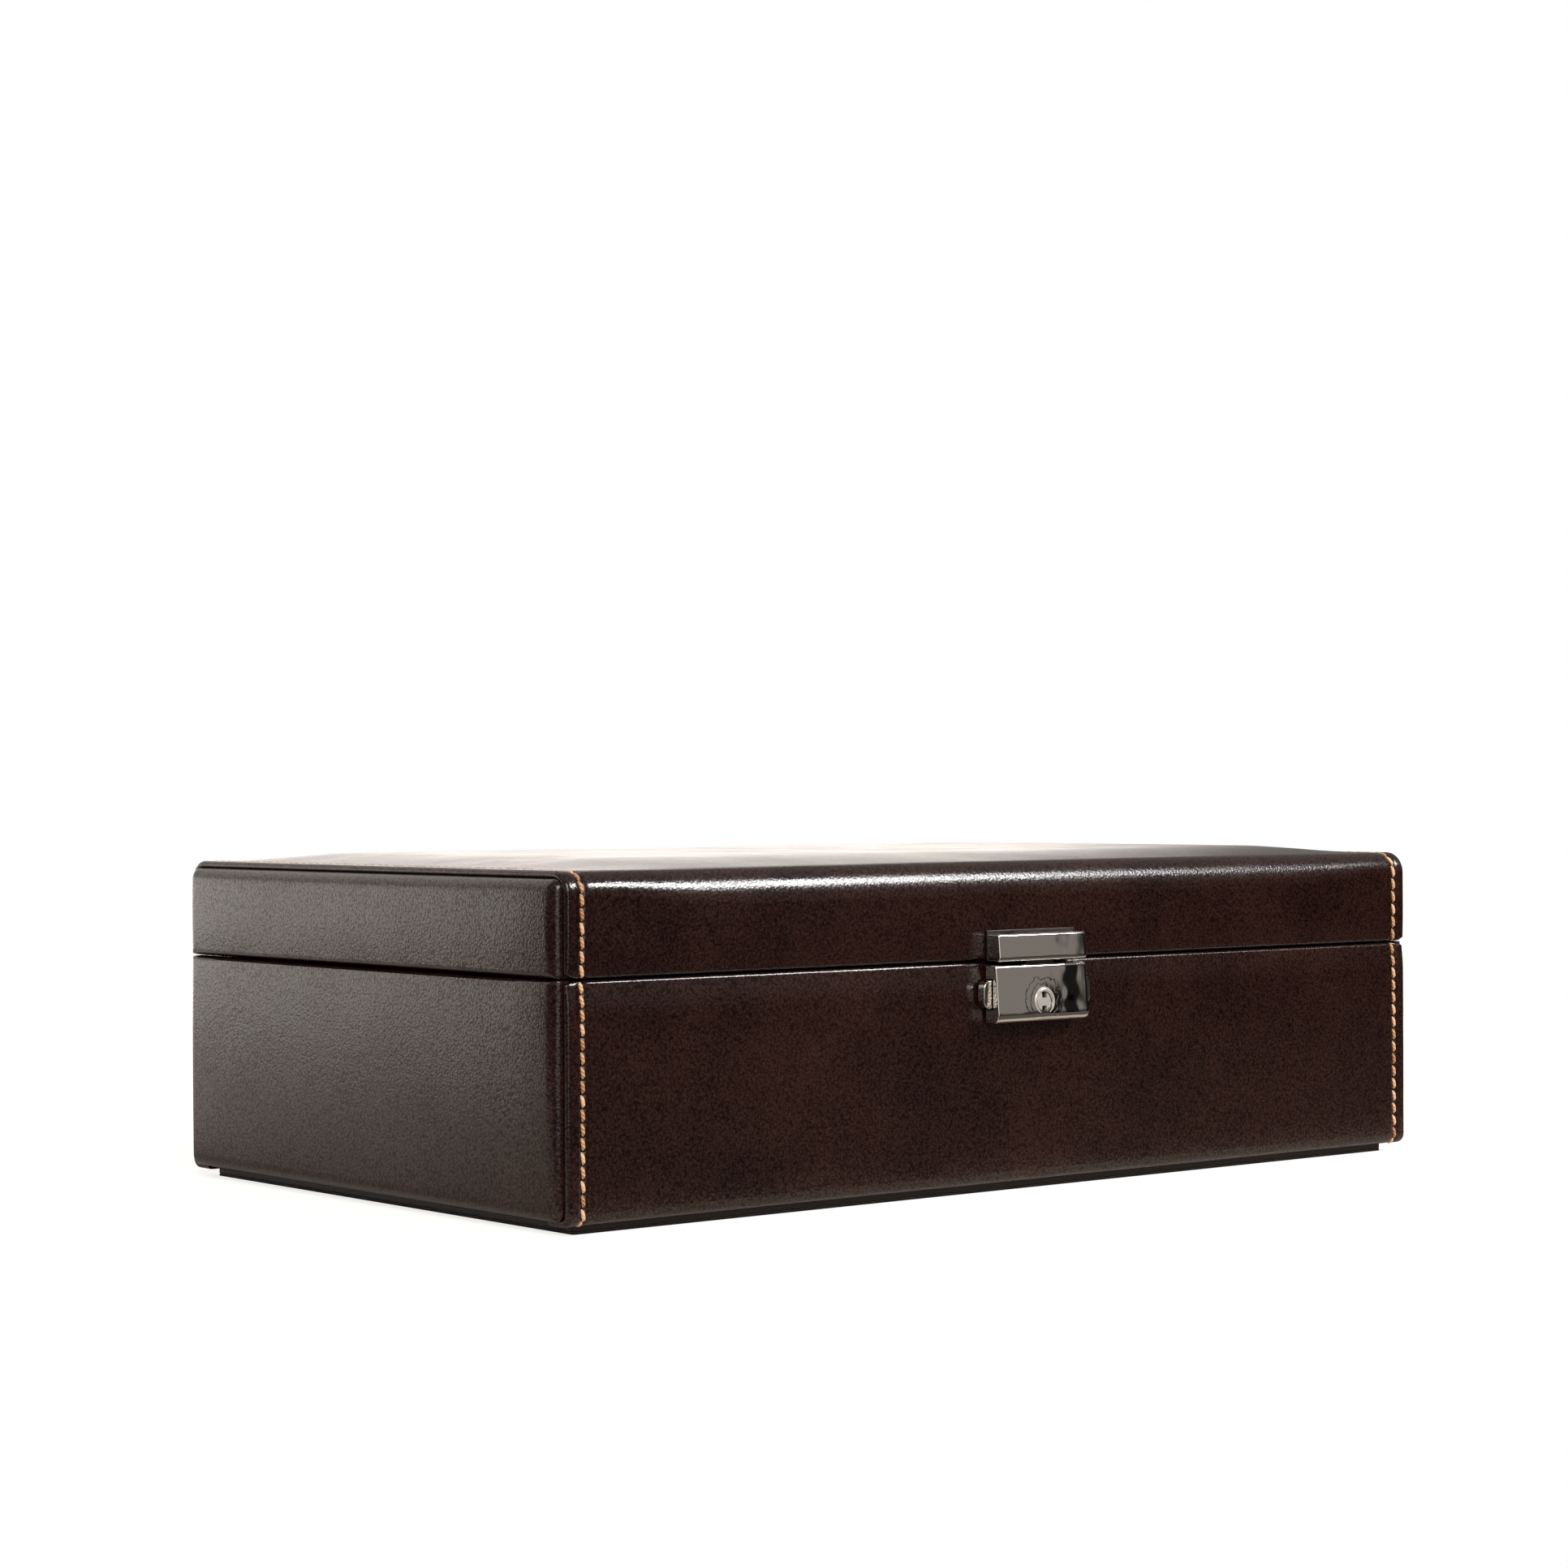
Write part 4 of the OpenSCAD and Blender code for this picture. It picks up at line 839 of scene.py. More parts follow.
def stitchRows(name, body, paths, tree):
    meshes = []
    for side, lines in paths.items():
        points, edges, outward = [], [], []
        for line in lines:
            first = len(points)
            points += [tuple(v * mm for v in p) for p, n in line]
            outward += [v for p, n in line for v in n]
            edges += [(first + i, first + i + 1) for i in range(len(line) - 1)]
        guide = bpy.data.meshes.new(name + "Guide")
        guide.from_pydata(points, edges, [])
        guide.attributes.new("outward", "FLOAT_VECTOR", "POINT").data.foreach_set("vector", outward)
        holder = bpy.data.objects.new(name, guide)
        bpy.context.collection.objects.link(holder)
        modifier = holder.modifiers.new("stitchRow", "NODES")
        modifier.node_group = tree
        values = {"Pitch": stitching["pitch"][side] * mm, "Slant": radians(stitching["slant"]),
                  "Unevenness": 0.1, "Seed": 7 + side, "Thread": thread}
        for item in tree.interface.items_tree:
            if item.in_out == "INPUT" and item.name in values:
                modifier[item.identifier] = values[item.name]
        evaluated = holder.evaluated_get(bpy.context.evaluated_depsgraph_get())
        meshes.append(bpy.data.meshes.new_from_object(evaluated))
        holder.modifiers.remove(modifier)
        bpy.data.objects.remove(holder)
    return place(smooth(joined(name, *meshes)), body, thread)


oneStitch = bpy.data.objects.new("oneStitch", stitchShape())
bpy.context.collection.objects.link(oneStitch)
sewing = stitchTree(oneStitch)
baseThread = stitchRows("baseStitching", "base", basePaths, sewing)
lidThread = stitchRows("lidStitching", "lid", lidPaths, sewing)
bpy.data.objects.remove(oneStitch)
print("stitches made:", len(baseThread.data.vertices), len(lidThread.data.vertices), "points")


# padded end covers
coverForm = {
    "swell": 1.9,        # how far the padding stands past the hem at its shoulders
    "shoulder": 2.7,     # distance over which the edge rolls over
    "rimShoulder": (0.9, 1.1),   # and where base and lid meet
    "wall": 1.2,         # upright part of the edge, down in the groove
    "corner": 3.0,
    "rimCorner": 0.7,
    "crown": (0.4, 0.3),  # slow rise along and up the panel
    "drawn": 0.6,         # its ends are drawn in by this much more
    "ripple": 0.06,
    "rippleSize": 17,
    "topSwell": 0.35,    # how far the lid's covers rise past its top edge
}


def gridStops(half):  # positions across a panel, close together at the edges
    edge = [0, 0.12, 0.3, 0.55, 0.9, 1.3, 1.8, 2.4, 3.1, 4.0, 5.2, 7.0, 9.5]
    right = [half - v for v in edge] + list(np.linspace(half - 13, 0, max(int(half / 4), 3)))
    return np.array(sorted(set([-round(v, 4) for v in right] + [round(v, 4) for v in right])))


def coverPiece(name, body, node, z0, z1, lowCorner, highCorner, side, flanges, seed):
    c, form = caseSize, coverForm
    halfY = span(node)[1][1]
    halfZ, midZ = (z1 - z0) / 2, (z1 + z0) / 2
    reach = c["hemX"] - c["boardX"] + form["swell"]
    a, b = gridStops(halfY), gridStops(halfZ)
    points = []
    for bi in b:
        corner = highCorner if bi > 0 else lowCorner
        for ai in a:
            ua, ub = abs(ai) - (halfY - corner), abs(bi) - (halfZ - corner)
            atRim = (bi > 0) == (highCorner < lowCorner)
            across = form["rimShoulder"][body == "lid"] if atRim else form["shoulder"]
            y, z, edge = ai, bi, min((halfY - abs(ai)) / form["shoulder"], (halfZ - abs(bi)) / across)
            if ua > 0 and ub > 0:
                m, share = max(ua, ub), min(ua, ub) / max(ua, ub)
                angle = share * pi / 4 if ua >= ub else pi / 2 - share * pi / 4
                y = np.sign(ai) * (halfY - corner + m * cos(angle))
                z = np.sign(bi) * (halfZ - corner + m * sin(angle))
                edge = min((corner - m) / (across if ub > ua else form["shoulder"]), edge)
            t = min(max(edge, 0), 1)
            x = form["wall"] + (reach - form["wall"]) * sqrt(1 - (1 - t) ** 2)
            x += (form["crown"][0] * (1 - (ai / halfY) ** 2) + form["drawn"] * (1 - (ai / halfY) ** 8)) * t
            x += form["crown"][1] * (1 - (bi / halfZ) ** 2) * t
            at = Vector((ai / form["rippleSize"] + seed * 7.1, bi / form["rippleSize"] + seed * 3.3, 0.5))
            x += form["ripple"] * noise.noise(at) * min(max(edge - 0.5, 0) / 2, 1)
            points.append((x, y, z))
    points, faces = gridBlock(points, len(a), len(b), lambda x, y, z: (0.0, y, z))
    points = [(side * (c["boardX"] + x), y, midZ + z) for x, y, z in points]
    panel = toMesh(name, points, faces)
    strips = []
    for inX, inY, f0, f1 in flanges:  # leather turned in over the board's edges
        x0, x1 = sorted((side * inX, side * c["boardX"]))
        outline = roundedRect((x0, -inY), (x1, inY), [0.1] * 4, 1)
        strips.append(filletPrism("turnedIn", outline, f0, f1, 0.25, "z", 2))
    piece = place(smooth(joined(name, panel, *strips), 50), body, leather, [node])


def endCovers():
    c, form, bulge = caseSize, coverForm, wrapForm["rimTouch"]
    for side, word in ((-1, "left"), (1, "right")):
        low, high = span(f"base_{word}_cover")
        turned = [(c["baseInX"], c["baseInY"], high[2] - c["turnIn"], high[2] + bulge),
                  (c["baseInX"], c["baseInY"], low[2], low[2] + c["turnIn"])]
        coverPiece(f"leatherBaseCover_{word}", "base", f"base_{word}_cover", low[2], high[2] + bulge,
                   form["corner"], form["rimCorner"], side, turned, 4 + side)
        low, high = span(f"lid_{word}_cover")
        turned = [(c["lidInX"], c["lidInY"], low[2] - bulge, low[2] + c["turnIn"])]
        coverPiece(f"leatherLidCover_{word}", "lid", f"lid_{word}_cover", low[2] - bulge,
                   high[2] + form["topSwell"], form["rimCorner"], form["corner"], side, turned, 9 + side)


endCovers()
print("end covers made")


# case lock
lockForm = {
    "edge": 0.4,         # rounding of the case's end edges
    "round": (2.3, 0.95),       # low and high edge of the case's face
    "strikeRound": (0.95, 0.6),
    "tilt": 5.2,         # degrees, the pressed faces lean back
    "dome": (0.12, 0.05),       # fall of a face towards its ends, and towards its low and high edges
    "dent": (0.17, 7.5, 5.0),   # step in the face by the right tab: depth, place and width
    "boss": (0.22, 5.2),        # swelling round the keyhole: height and radius
    "collar": 1.1,       # width of the ring round the keyhole
    "collarFoot": 1.6,   # its inside starts so far in front of the wrap
    "boreGap": 0.1,      # round the key plug
    "plugSink": 0.3,     # how far the plug's face lies behind the ring's
    "notch": (0.85, 0.8, 0.7, 1.2),   # two in it: half width, half height, way in from the edge, depth
    "slotGap": 0.35,
    "slotDepth": 5.6,    # room for a pressed tab
    "slotCorner": 0.6,
    "tabThin": 0.55,     # a tab ends so far inside its CAD box, above and below
    "tabRoot": 3.0,      # how far it reaches into the case
    "tabRound": 2.4,
    "tabShift": (1.0, 0.45),   # how far a tab's face and its back lie behind those of the case's slot
    "tabEdge": 0.35,
    "plate": (0.5, 0.25),   # corner and edge rounding of the back plates
}


def pressedBlock(name, low, high, face, rounds, boss):
    # Block on the front whose face leans back and domes; columns along x, each a closed ring in (y, z)
    form = lockForm
    mid, halfW, halfH = (low[2] + high[2]) / 2, (high[0] - low[0]) / 2, (high[2] - low[2]) / 2
    lowR, highR = rounds
    lean = radians(form["tilt"])
    ring = [(high[1], low[2])]
    ring += [(face + lowR - lowR * sin(radians(a)), low[2] + lowR - lowR * cos(radians(a)))
             for a in np.linspace(0, 90, 10)]
    ring += [(face, z) for z in np.linspace(low[2] + lowR, high[2] - highR, 16)[1:-1]]
    ring += [(face + highR - highR * cos(radians(a)), high[2] - highR + highR * sin(radians(a)))
             for a in np.linspace(0, 90, 9)]
    ring.append((high[1], high[2]))
    ends = [form["edge"] * (1 - cos(radians(a))) for a in (0, 22, 45, 67, 90)]
    stops = [low[0] + e for e in ends] + list(np.linspace(low[0] + 1, high[0] - 1, 44))
    stops += [high[0] - e for e in reversed(ends)]
    points = []
    for x in stops:
        t = min(min(x - low[0], high[0] - x) / form["edge"], 1)
        inset = form["edge"] * (1 - sqrt(1 - (1 - t) ** 2))
        for y, z in ring:
            front = min((high[1] - y) / (high[1] - face), 1)
            back = (z - mid) * sin(lean) + form["dome"][0] * (x / halfW) ** 2
            back += form["dome"][1] * ((z - mid) / halfH) ** 2
            depth, start, wide = form["dent"]
            if boss:
                back += depth * float(blendTo((x - start - 0.8 * cos(z - mid)) / wide))
                spread = ((x - boss[0]) ** 2 + (z - boss[1]) ** 2) / form["boss"][1] ** 2
                back -= form["boss"][0] * np.exp(-spread)
            y = y + back * front
            scale = 1 - inset / halfH
            points.append((x, y + inset * front, mid + (z - mid) * scale))
    return toMesh(name, points, ringFaces(len(stops), len(ring)), 1e-7)


def lockCase():
    form = lockForm
    low, high = span("lock_case")
    tabLow, tabHigh = span("push_tab_left")
    bore = plugRadius + form["boreGap"]
    keyhole = (0, -caseSize["wrapY"], keyZ)
    block = pressedBlock("lockCaseNickel", low, high, lockFace, form["round"], (0, keyZ))
    cutters = []
    middleZ = (low[2] + high[2]) / 2
    halfTab = (tabHigh[2] - tabLow[2]) / 2 - form["tabThin"] + form["slotGap"]
    slotY = (tabLow[1] + form["tabShift"][0] - form["slotGap"], tabHigh[1] + form["tabShift"][1] + 0.1)
    outline = roundedRect((slotY[0], middleZ - halfTab), (slotY[1], middleZ + halfTab),
                          [form["slotCorner"]] * 4, 4)
    for side in (-1, 1):
        x0, x1 = sorted((side * (high[0] - form["slotDepth"]), side * (high[0] + 2)))
        cutters.append(filletPrism("sideSlot", outline, x0, x1, 0.05, "x", 1))
    cutters.append(toMesh("bore", *lathe([(bore, -3.0), (bore, 8.0)], keyhole)))
    block = cutAway(block, *cutters)
    top = -caseSize["wrapY"] - low[1]  # the ring's face, as a depth in front of the wrap
    rest = -caseSize["wrapY"] - lockFace - 0.25
    rim, foot = bore + form["collar"], form["collarFoot"]
    crest = (rim - bore) / 2
    profile = [(rim + 0.5, rest - 0.5), (rim + 0.5, rest + 0.02), (rim + 0.28, rest + 0.12),
               (rim + 0.1, rest + 0.3)]
    profile += [(bore + crest + crest * cos(radians(a)), top - crest + crest * sin(radians(a)))
                for a in range(0, 181, 15)]
    profile += [(bore, foot), (bore + 0.3, foot), (bore + 0.3, rest - 0.5)]
    collar = toMesh("collar", *lathe(profile + profile[:1], keyhole, 64, closed=False))
    mark(block, "rubbed", 0.0)
    mark(collar, "rubbed", 1.0)
    mesh = joined("lockCaseNickel", block, collar)
    print("lock case:", len(block.polygons), "faces")
    place(smooth(mesh, 40), "base", lockNickel, ["lock_case"], hard=True)


def keyPlug():
    r, form = plugRadius, lockForm
    y0, y1 = span("lock_case")[0][1] + form["plugSink"], plugHigh[1]
    profile = [(0.001, 0), (r * 0.25, 0.01), (r * 0.5, 0.03), (r * 0.75, 0.08), (r - 0.2, 0.15), (r, 0.4),
               (r, y1 - y0), (0.001, y1 - y0)]
    points, faces = lathe(profile, (0, 0, keyZ))
    body = toMesh("keyPlugNickel", [(x, y0 - y, z) for x, y, z in points], faces, 5e-6)
    halfX, halfZ, inset, deep = form["notch"]
    cutters = []
    for side in (-1, 1):
        z = keyZ + side * (r - inset)
        outline = roundedRect((-halfX, z - halfZ), (halfX, z + halfZ), [0.25] * 4, 3)
        cutters.append(filletPrism("notch", outline, y0 - 1, y0 + deep, 0.05, "y", 1))
    body = cutAway(body, *cutters)
    # the notches' floors get painted shade
    inside = [float((y0 + 1) * mm < v.co.y < (y0 + 1.4) * mm) for v in body.vertices]
    mark(body, "hollow", inside)
    mark(body, "rubbed", 1.0)
    outline = roundedRect((-1, plugLow[2]), (1, keyZ - 1), [0.3] * 4, 3)
    cam = filletPrism("cam", outline, y1 - 0.5, y1, 0.1, "y", 2)
    place(smooth(joined("keyPlugNickel", body, cam), 35), "key_plug", lockNickel,
          ["key_plug"], hard=True)


def pushTab(word):
    form = lockForm
    low, high = span(f"push_tab_{word}")
    side = -1 if word == "left" else 1
    middleZ, halfZ = (low[2] + high[2]) / 2, (high[2] - low[2]) / 2 - form["tabThin"]
    outer = high[0] if side > 0 else -low[0]
    inner = span("lock_case")[1][0] - form["tabRoot"]
    outline = roundedRect((inner, middleZ - halfZ), (outer, middleZ + halfZ),
                          [0.1, form["tabRound"], form["tabRound"], 0.1], 8)
    if side < 0:
        outline = [(-x, z) for x, z in reversed(outline)]
    front, back = form["tabShift"]
    knob = filletPrism(f"pushTabNickel_{word}", outline, low[1] + front, high[1] + back, form["tabEdge"],
                       "y", 5)
    place(smooth(knob, 40), f"push_tab_{word}", lockNickel, [f"push_tab_{word}"], hard=True)


def strike():
    low, high = span("strike_block")
    block = pressedBlock("strikeNickel", low, high, low[1], lockForm["strikeRound"], None)
    place(smooth(block, 40), "lid", lockNickel, ["strike_block"], hard=True)


def backPlate(name, node, body, lowZ):
    low, high = span(node)
    corner, edge = lockForm["plate"]
    outline = roundedRect((low[0], lowZ or low[2]), (high[0], high[2]), [corner] * 4, 4)
    plate = filletPrism(name, outline, low[1], high[1], edge, "y", 3)
    place(smooth(plate, 40), body, plateNickel, [node], hard=True)


lockCase()
keyPlug()
for word in ("left", "right"):
    pushTab(word)
strike()
backPlate("lockPlateNickel", "lock_back_plate", "base", span("lock_case")[0][2] + 0.3)
backPlate("strikePlateNickel", "strike_plate", "lid", None)
print("lock made")


# plinth
plinthForm = {"corner": 1.2, "boardEdge": 0.35, "feltEdge": 0.15}


def plinthLayer(name, node, material, edge):
    low, high = span(node)
    outline = roundedRect((low[0], low[1]), (high[0], high[1]), [plinthForm["corner"]] * 4, 4)
    layer = filletPrism(name, outline, low[2], high[2], edge, "z", 3)
    place(smooth(layer, 40), "base", material, [node], hard=True)


plinthLayer("plinthBoardPaper", "plinth_board", plinthPaper, plinthForm["boardEdge"])
plinthLayer("plinthFeltPad", "plinth_felt", felt, plinthForm["feltEdge"])
print("plinth made")


# velvet inside
padForm = {
    "edge": 2.2,         # rounding of a pad's outer top edge
    "lip": 1.6,          # rounding at the mouth of the well
    "fillet": 1.5,       # where the well's wall meets its floor
    "dish": 0.8,         # the well's floor sinks a little in the middle
    "corner": 2.0,
    "wall": 5.5,         # least velvet round the well
    "wellRadius": 26.0,
    "bowWidth": 18.0,
    "wellDepth": 10.0,
}


def keyholeOutline(halfY):  # round well with a slot towards the rear, anticlockwise
    f = padForm
    wellY = -halfY + f["wall"] + f["wellRadius"]
    endY = halfY - f["wall"]
    half, soft = f["bowWidth"] / 2, f["bowWidth"] / 3
    start = np.degrees(np.arccos(half / f["wellRadius"]))
    circle = arcPoints((0, wellY), f["wellRadius"], 180 - start, 360 + start, 72)
    slot = [(half, endY - soft - v) for v in (4, 2)] + arcPoints((half - soft, endY - soft), soft, 0, 90, 6)
    slot += arcPoints((soft - half, endY - soft), soft, 90, 180, 6)
    slot += [(-half, endY - soft - v) for v in (2, 4)]
    points = np.array(circle + slot)
    for _ in range(3):  # soften the corners where the slot leaves the well
        points = points * 0.5 + 0.25 * (np.roll(points, 1, axis=0) + np.roll(points, -1, axis=0))
    return [tuple(p) for p in points]


def watchPad(number):
    f = padForm
    node = f"watch_pad_{number}"
    low, high = span(node)
    midX, midY = (low[0] + high[0]) / 2, (low[1] + high[1]) / 2
    halfX, halfY, z1 = (high[0] - low[0]) / 2, (high[1] - low[1]) / 2, high[2]
    outer = roundedRect((-halfX, -halfY), (halfX, halfY), [f["corner"]] * 4, 4)
    hole = keyholeOutline(halfY)
    floorZ = z1 - f["wellDepth"]
    rings = [(f["edge"] * (1 - cos(radians(a))), z1 - f["edge"] * (1 - sin(radians(a))))
             for a in (90, 67, 45, 22, 0)]  # outer top edge, from the flat top out to the side
    rings.append((0, low[2]))
    well = [(-(f["lip"] - f["lip"] * cos(radians(a))), z1 - f["lip"] + f["lip"] * sin(radians(a)))
            for a in (90, 67, 45, 22, 0)]
    well.append((0, z1 - f["wellDepth"] / 2))
    well += [(f["fillet"] * (1 - cos(radians(a))), floorZ + f["fillet"] * (1 - sin(radians(a))))
             for a in (0, 30, 60, 90)]
    well.append((f["fillet"] + 5, floorZ - f["dish"] * 0.4))
    work = bmesh.new()

    def addRing(outline, z):
        return [work.verts.new(((midX + x) * mm, (midY + y) * mm, z * mm)) for x, y in outline]

    def skin(first, second):
        for i in range(len(first)):
            j = (i + 1) % len(first)
            work.faces.new((first[i], first[j], second[j], second[i]))

    sides = [addRing(insetOutline(outer, inset), z) for inset, z in rings]
    for first, second in zip(sides, sides[1:]):
        skin(first, second)
    work.faces.new(sides[-1])
    walls = [addRing(insetOutline(hole, inset), z) for inset, z in well]
    for first, second in zip(walls, walls[1:]):
        skin(first, second)
    work.faces.new(walls[-1])
    loops = [work.edges.get((ring[i], ring[(i + 1) % len(ring)])) for ring in (sides[0], walls[0])
             for i in range(len(ring))]
    bmesh.ops.triangle_fill(work, use_beauty=True, edges=loops)
    bmesh.ops.recalc_face_normals(work, faces=work.faces)
    mesh = bpy.data.meshes.new(f"velvetPad_{number}")
    work.to_mesh(mesh)
    work.free()
    piece = place(smooth(mesh, 50), "base", velvet, [node], hard=True)


cushionForm = {
    "edge": (2.9, 3.0, 2.2),   # height of its rounded edge, width of that, and how full its curve is
    "crown": (3.3, 30),        # rise of the foam inside that, and over what distance
}
liningForm = {"base": 1.5, "lid": 0.6}   # thickness
dividerEdge = 0.8
hingeEdge = 0.12


def lidCushion():  # velvet over foam under the lid: crowned downwards, its edge drawn in
    halfX, halfY, backZ = span("lid_cushion")[1]
    edgeHigh, edgeWide, full = cushionForm["edge"]
    crown, run = cushionForm["crown"]
    a, b = gridStops(halfX), gridStops(halfY)
    points = []
    for bi in b:
        for ai in a:
            edge = min(halfX - abs(ai), halfY - abs(bi))
            drop = edgeHigh * (1 - (1 - min(max(edge, 0) / edgeWide, 1)) ** full) ** (1 / full)
            risen = crown * sin(pi / 2 * min((halfX - abs(ai)) / run, 1))
            drop += risen * sin(pi / 2 * min((halfY - abs(bi)) / run, 1))
            points.append((ai, bi, backZ - 0.05 - drop))
    points, faces = gridBlock(points, len(a), len(b), lambda x, y, z: (x, y, backZ))
    piece = place(smooth(toMesh("velvetLidCushion", points, faces), 50), "lid", velvet,
                  ["lid_cushion"])


def liningStrips(name, body):
    node = body + "_lining"
    low, high = span(node)
    inX, inY, thick = caseSize[body + "InX"], caseSize[body + "InY"], liningForm[body]
    meshes = []
    for side in (-1, 1):
        y0, y1 = sorted((side * (inY - thick), side * inY))
        x0, x1 = sorted((side * (inX - thick), side * inX))
        for corners in (((-inX, y0), (inX, y1)), ((x0, thick - inY + 0.1), (x1, inY - thick - 0.1))):
            outline = roundedRect(*corners, [thick * 0.3] * 4, 3)
            meshes.append(filletPrism("strip", outline, low[2], high[2], thick * 0.4, "z", 3))
    place(smooth(joined(name, *meshes), 40), body, velvet, [node], hard=True)


for number in range(1, 9):
    watchPad(number)
lidCushion()
liningStrips("velvetBaseLining", "base")
liningStrips("velvetLidLining", "lid")
for node in ("long_divider", "cross_divider_1", "cross_divider_2", "cross_divider_3"):
    place(bevelledCopy(node, dividerEdge, 3), "base", velvet, [node], hard=True)
print("velvet made")


# hinges and CAD nodes that stay
for body in ("base", "lid"):
    for word in ("left", "right"):
        node = f"hinge_{body}_leaf_{word}"
        place(bevelledCopy(node, hingeEdge), body, plateNickel, [node], hard=True)

plainFinish = {
    "board": (fibreboard, ["base_floor_board", "base_front_board", "base_rear_board", "base_left_board",
                           "base_right_board", "lid_top_board", "lid_front_board", "lid_rear_board",
                           "lid_left_board", "lid_right_board"]),
    "foam": (foam, ["lid_foam"]),
    "metal": (plateNickel, ["hinge_pin_left", "hinge_pin_right", "strike_tongue"]),
    "steel": (zinc, ["lock_screws", "strike_screws", "hinge_base_screws", "hinge_lid_screws",
                     "tab_spring_left", "tab_spring_right"]),
}
for material, nodes in plainFinish.values():
    for node in nodes:
        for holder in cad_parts[node].material_slots:
            holder.material = material
print("CAD nodes finished")


# floor, light and camera
studio = {
    "table": ((-0.5, -0.4), (0.6, 0.9)),   # m, low and high corner of the pale table top
    "tableColour": "#c9bdae",
    "tableShown": 0.78,      # what the camera gets from the table on top of its lit colour
    "tableMirrored": 0.05,   # what shiny faces get on top
    "tableSheen": (-0.31, 0.0, 0.45),   # left of the box it grows between two places, to this strength
    "sheenSlant": 1.4,                  # how much a place further right counts as further back
    "sheenEdge": (-0.2, -0.17),         # the sheen ends between these x
    "tableDull": (-0.13, -0.115, 0.9),  # before the box shiny faces get only what this share leaves
    "backdrop": (-34.0, 45.5),   # degrees from +Y towards +X, its two edges
    "backdropEdge": (5.0, 3.0),  # their softness
    "backdropLean": (-4.7, -3.5, -5.0),   # between these two heights its left edge moves by so much
    # its strength at the foot, the height that this lasts to, how slowly it falls, and what evens that out
    "backdropFall": (2.35, 1.5, 11.5, 1.14),
    "roomTint": "#fff7f0",
    "ceiling": (0.4, 25, 60),   # strength, and the heights between which the wall turns into it
    "wall": 0.26,               # the unlit room
    "skirt": (0.05, 0.5, 2.5),  # its dark foot, and the heights between which that ends
    "pane": (-144.5, 13.0, 3.0, 1.35),   # a window behind the camera: way, half width, softness, strength
    "paneHeight": ((-9, -3), (45, 35)),
    "doorway": (113.0, 21.0, 1.0, 0.95),   # a dark one: way, half width, softness, share of light it takes
    "doorTop": (18, 14),
    "lamps": {"softKey": ((0.79, -0.86, 0.92), (0.5, 0.3), 14.0),   # place, size and power
              "frontFill": ((-1.15, -1.6, 1.3), (1.0, 1.0), 25.0)},
    "lampAim": (0, 0, 0.05),
}


def studioFloor():  # a table top that ends near the box, so that its front faces mirror the dim room
    (x0, y0), (x1, y1) = studio["table"]
    mesh = bpy.data.meshes.new("paleFloor")
    mesh.from_pydata([(x0, y0, 0), (x1, y0, 0), (x1, y1, 0), (x0, y1, 0)], [], [(0, 1, 2, 3)])
    floor = bpy.data.objects.new("paleFloor", mesh)
    bpy.context.collection.objects.link(floor)
    material, add, spot = newMaterial("paleFloor")
    ray = add("ShaderNodeLightPath").outputs
    reflected = add("ShaderNodeMath", "MAXIMUM", i0=ray["Is Glossy Ray"], i1=ray["Is Transmission Ray"])
    part = add("ShaderNodeSeparateXYZ", i0=spot).outputs
    near, far, share = studio["tableDull"]
    dull = add("ShaderNodeMapRange", Value=part["Y"], From_Min=near, From_Max=far, To_Min=share, To_Max=0.0)
    dull = add("ShaderNodeMath", "MULTIPLY", i0=dull, i1=reflected)
    shade = add("ShaderNodeMix", {"data_type": "RGBA"}, i0=dull, i6=linear(studio["tableColour"]),
                i7=linear("#000000"))
    matt = add("ShaderNodeBsdfDiffuse", Color=shade.outputs["Result"])
    across = add("ShaderNodeMath", "MULTIPLY_ADD", i0=part["X"], i1=studio["sheenSlant"], i2=part["Y"])
    low, high, sheen = studio["tableSheen"]
    glowing = add("ShaderNodeMapRange", Value=across, From_Min=low, From_Max=high, To_Min=0.0, To_Max=sheen)
    low, high = studio["sheenEdge"]
    beside = add("ShaderNodeMapRange", Value=part["X"], From_Min=low, From_Max=high, To_Min=1.0, To_Max=0.0)
    glowing = add("ShaderNodeMath", "MULTIPLY_ADD", i0=glowing, i1=beside, i2=studio["tableMirrored"])
    mirrored = add("ShaderNodeMath", "MULTIPLY", i0=reflected, i1=glowing)
    strength = add("ShaderNodeMath", "MULTIPLY_ADD", i0=ray["Is Camera Ray"], i1=studio["tableShown"],
                   i2=mirrored)
    glow = add("ShaderNodeEmission", Color=linear("#ffffff"), Strength=strength)
    shader = add("ShaderNodeAddShader", i0=matt, i1=glow)
    add("ShaderNodeOutputMaterial", Surface=shader)
    mesh.materials.append(material)


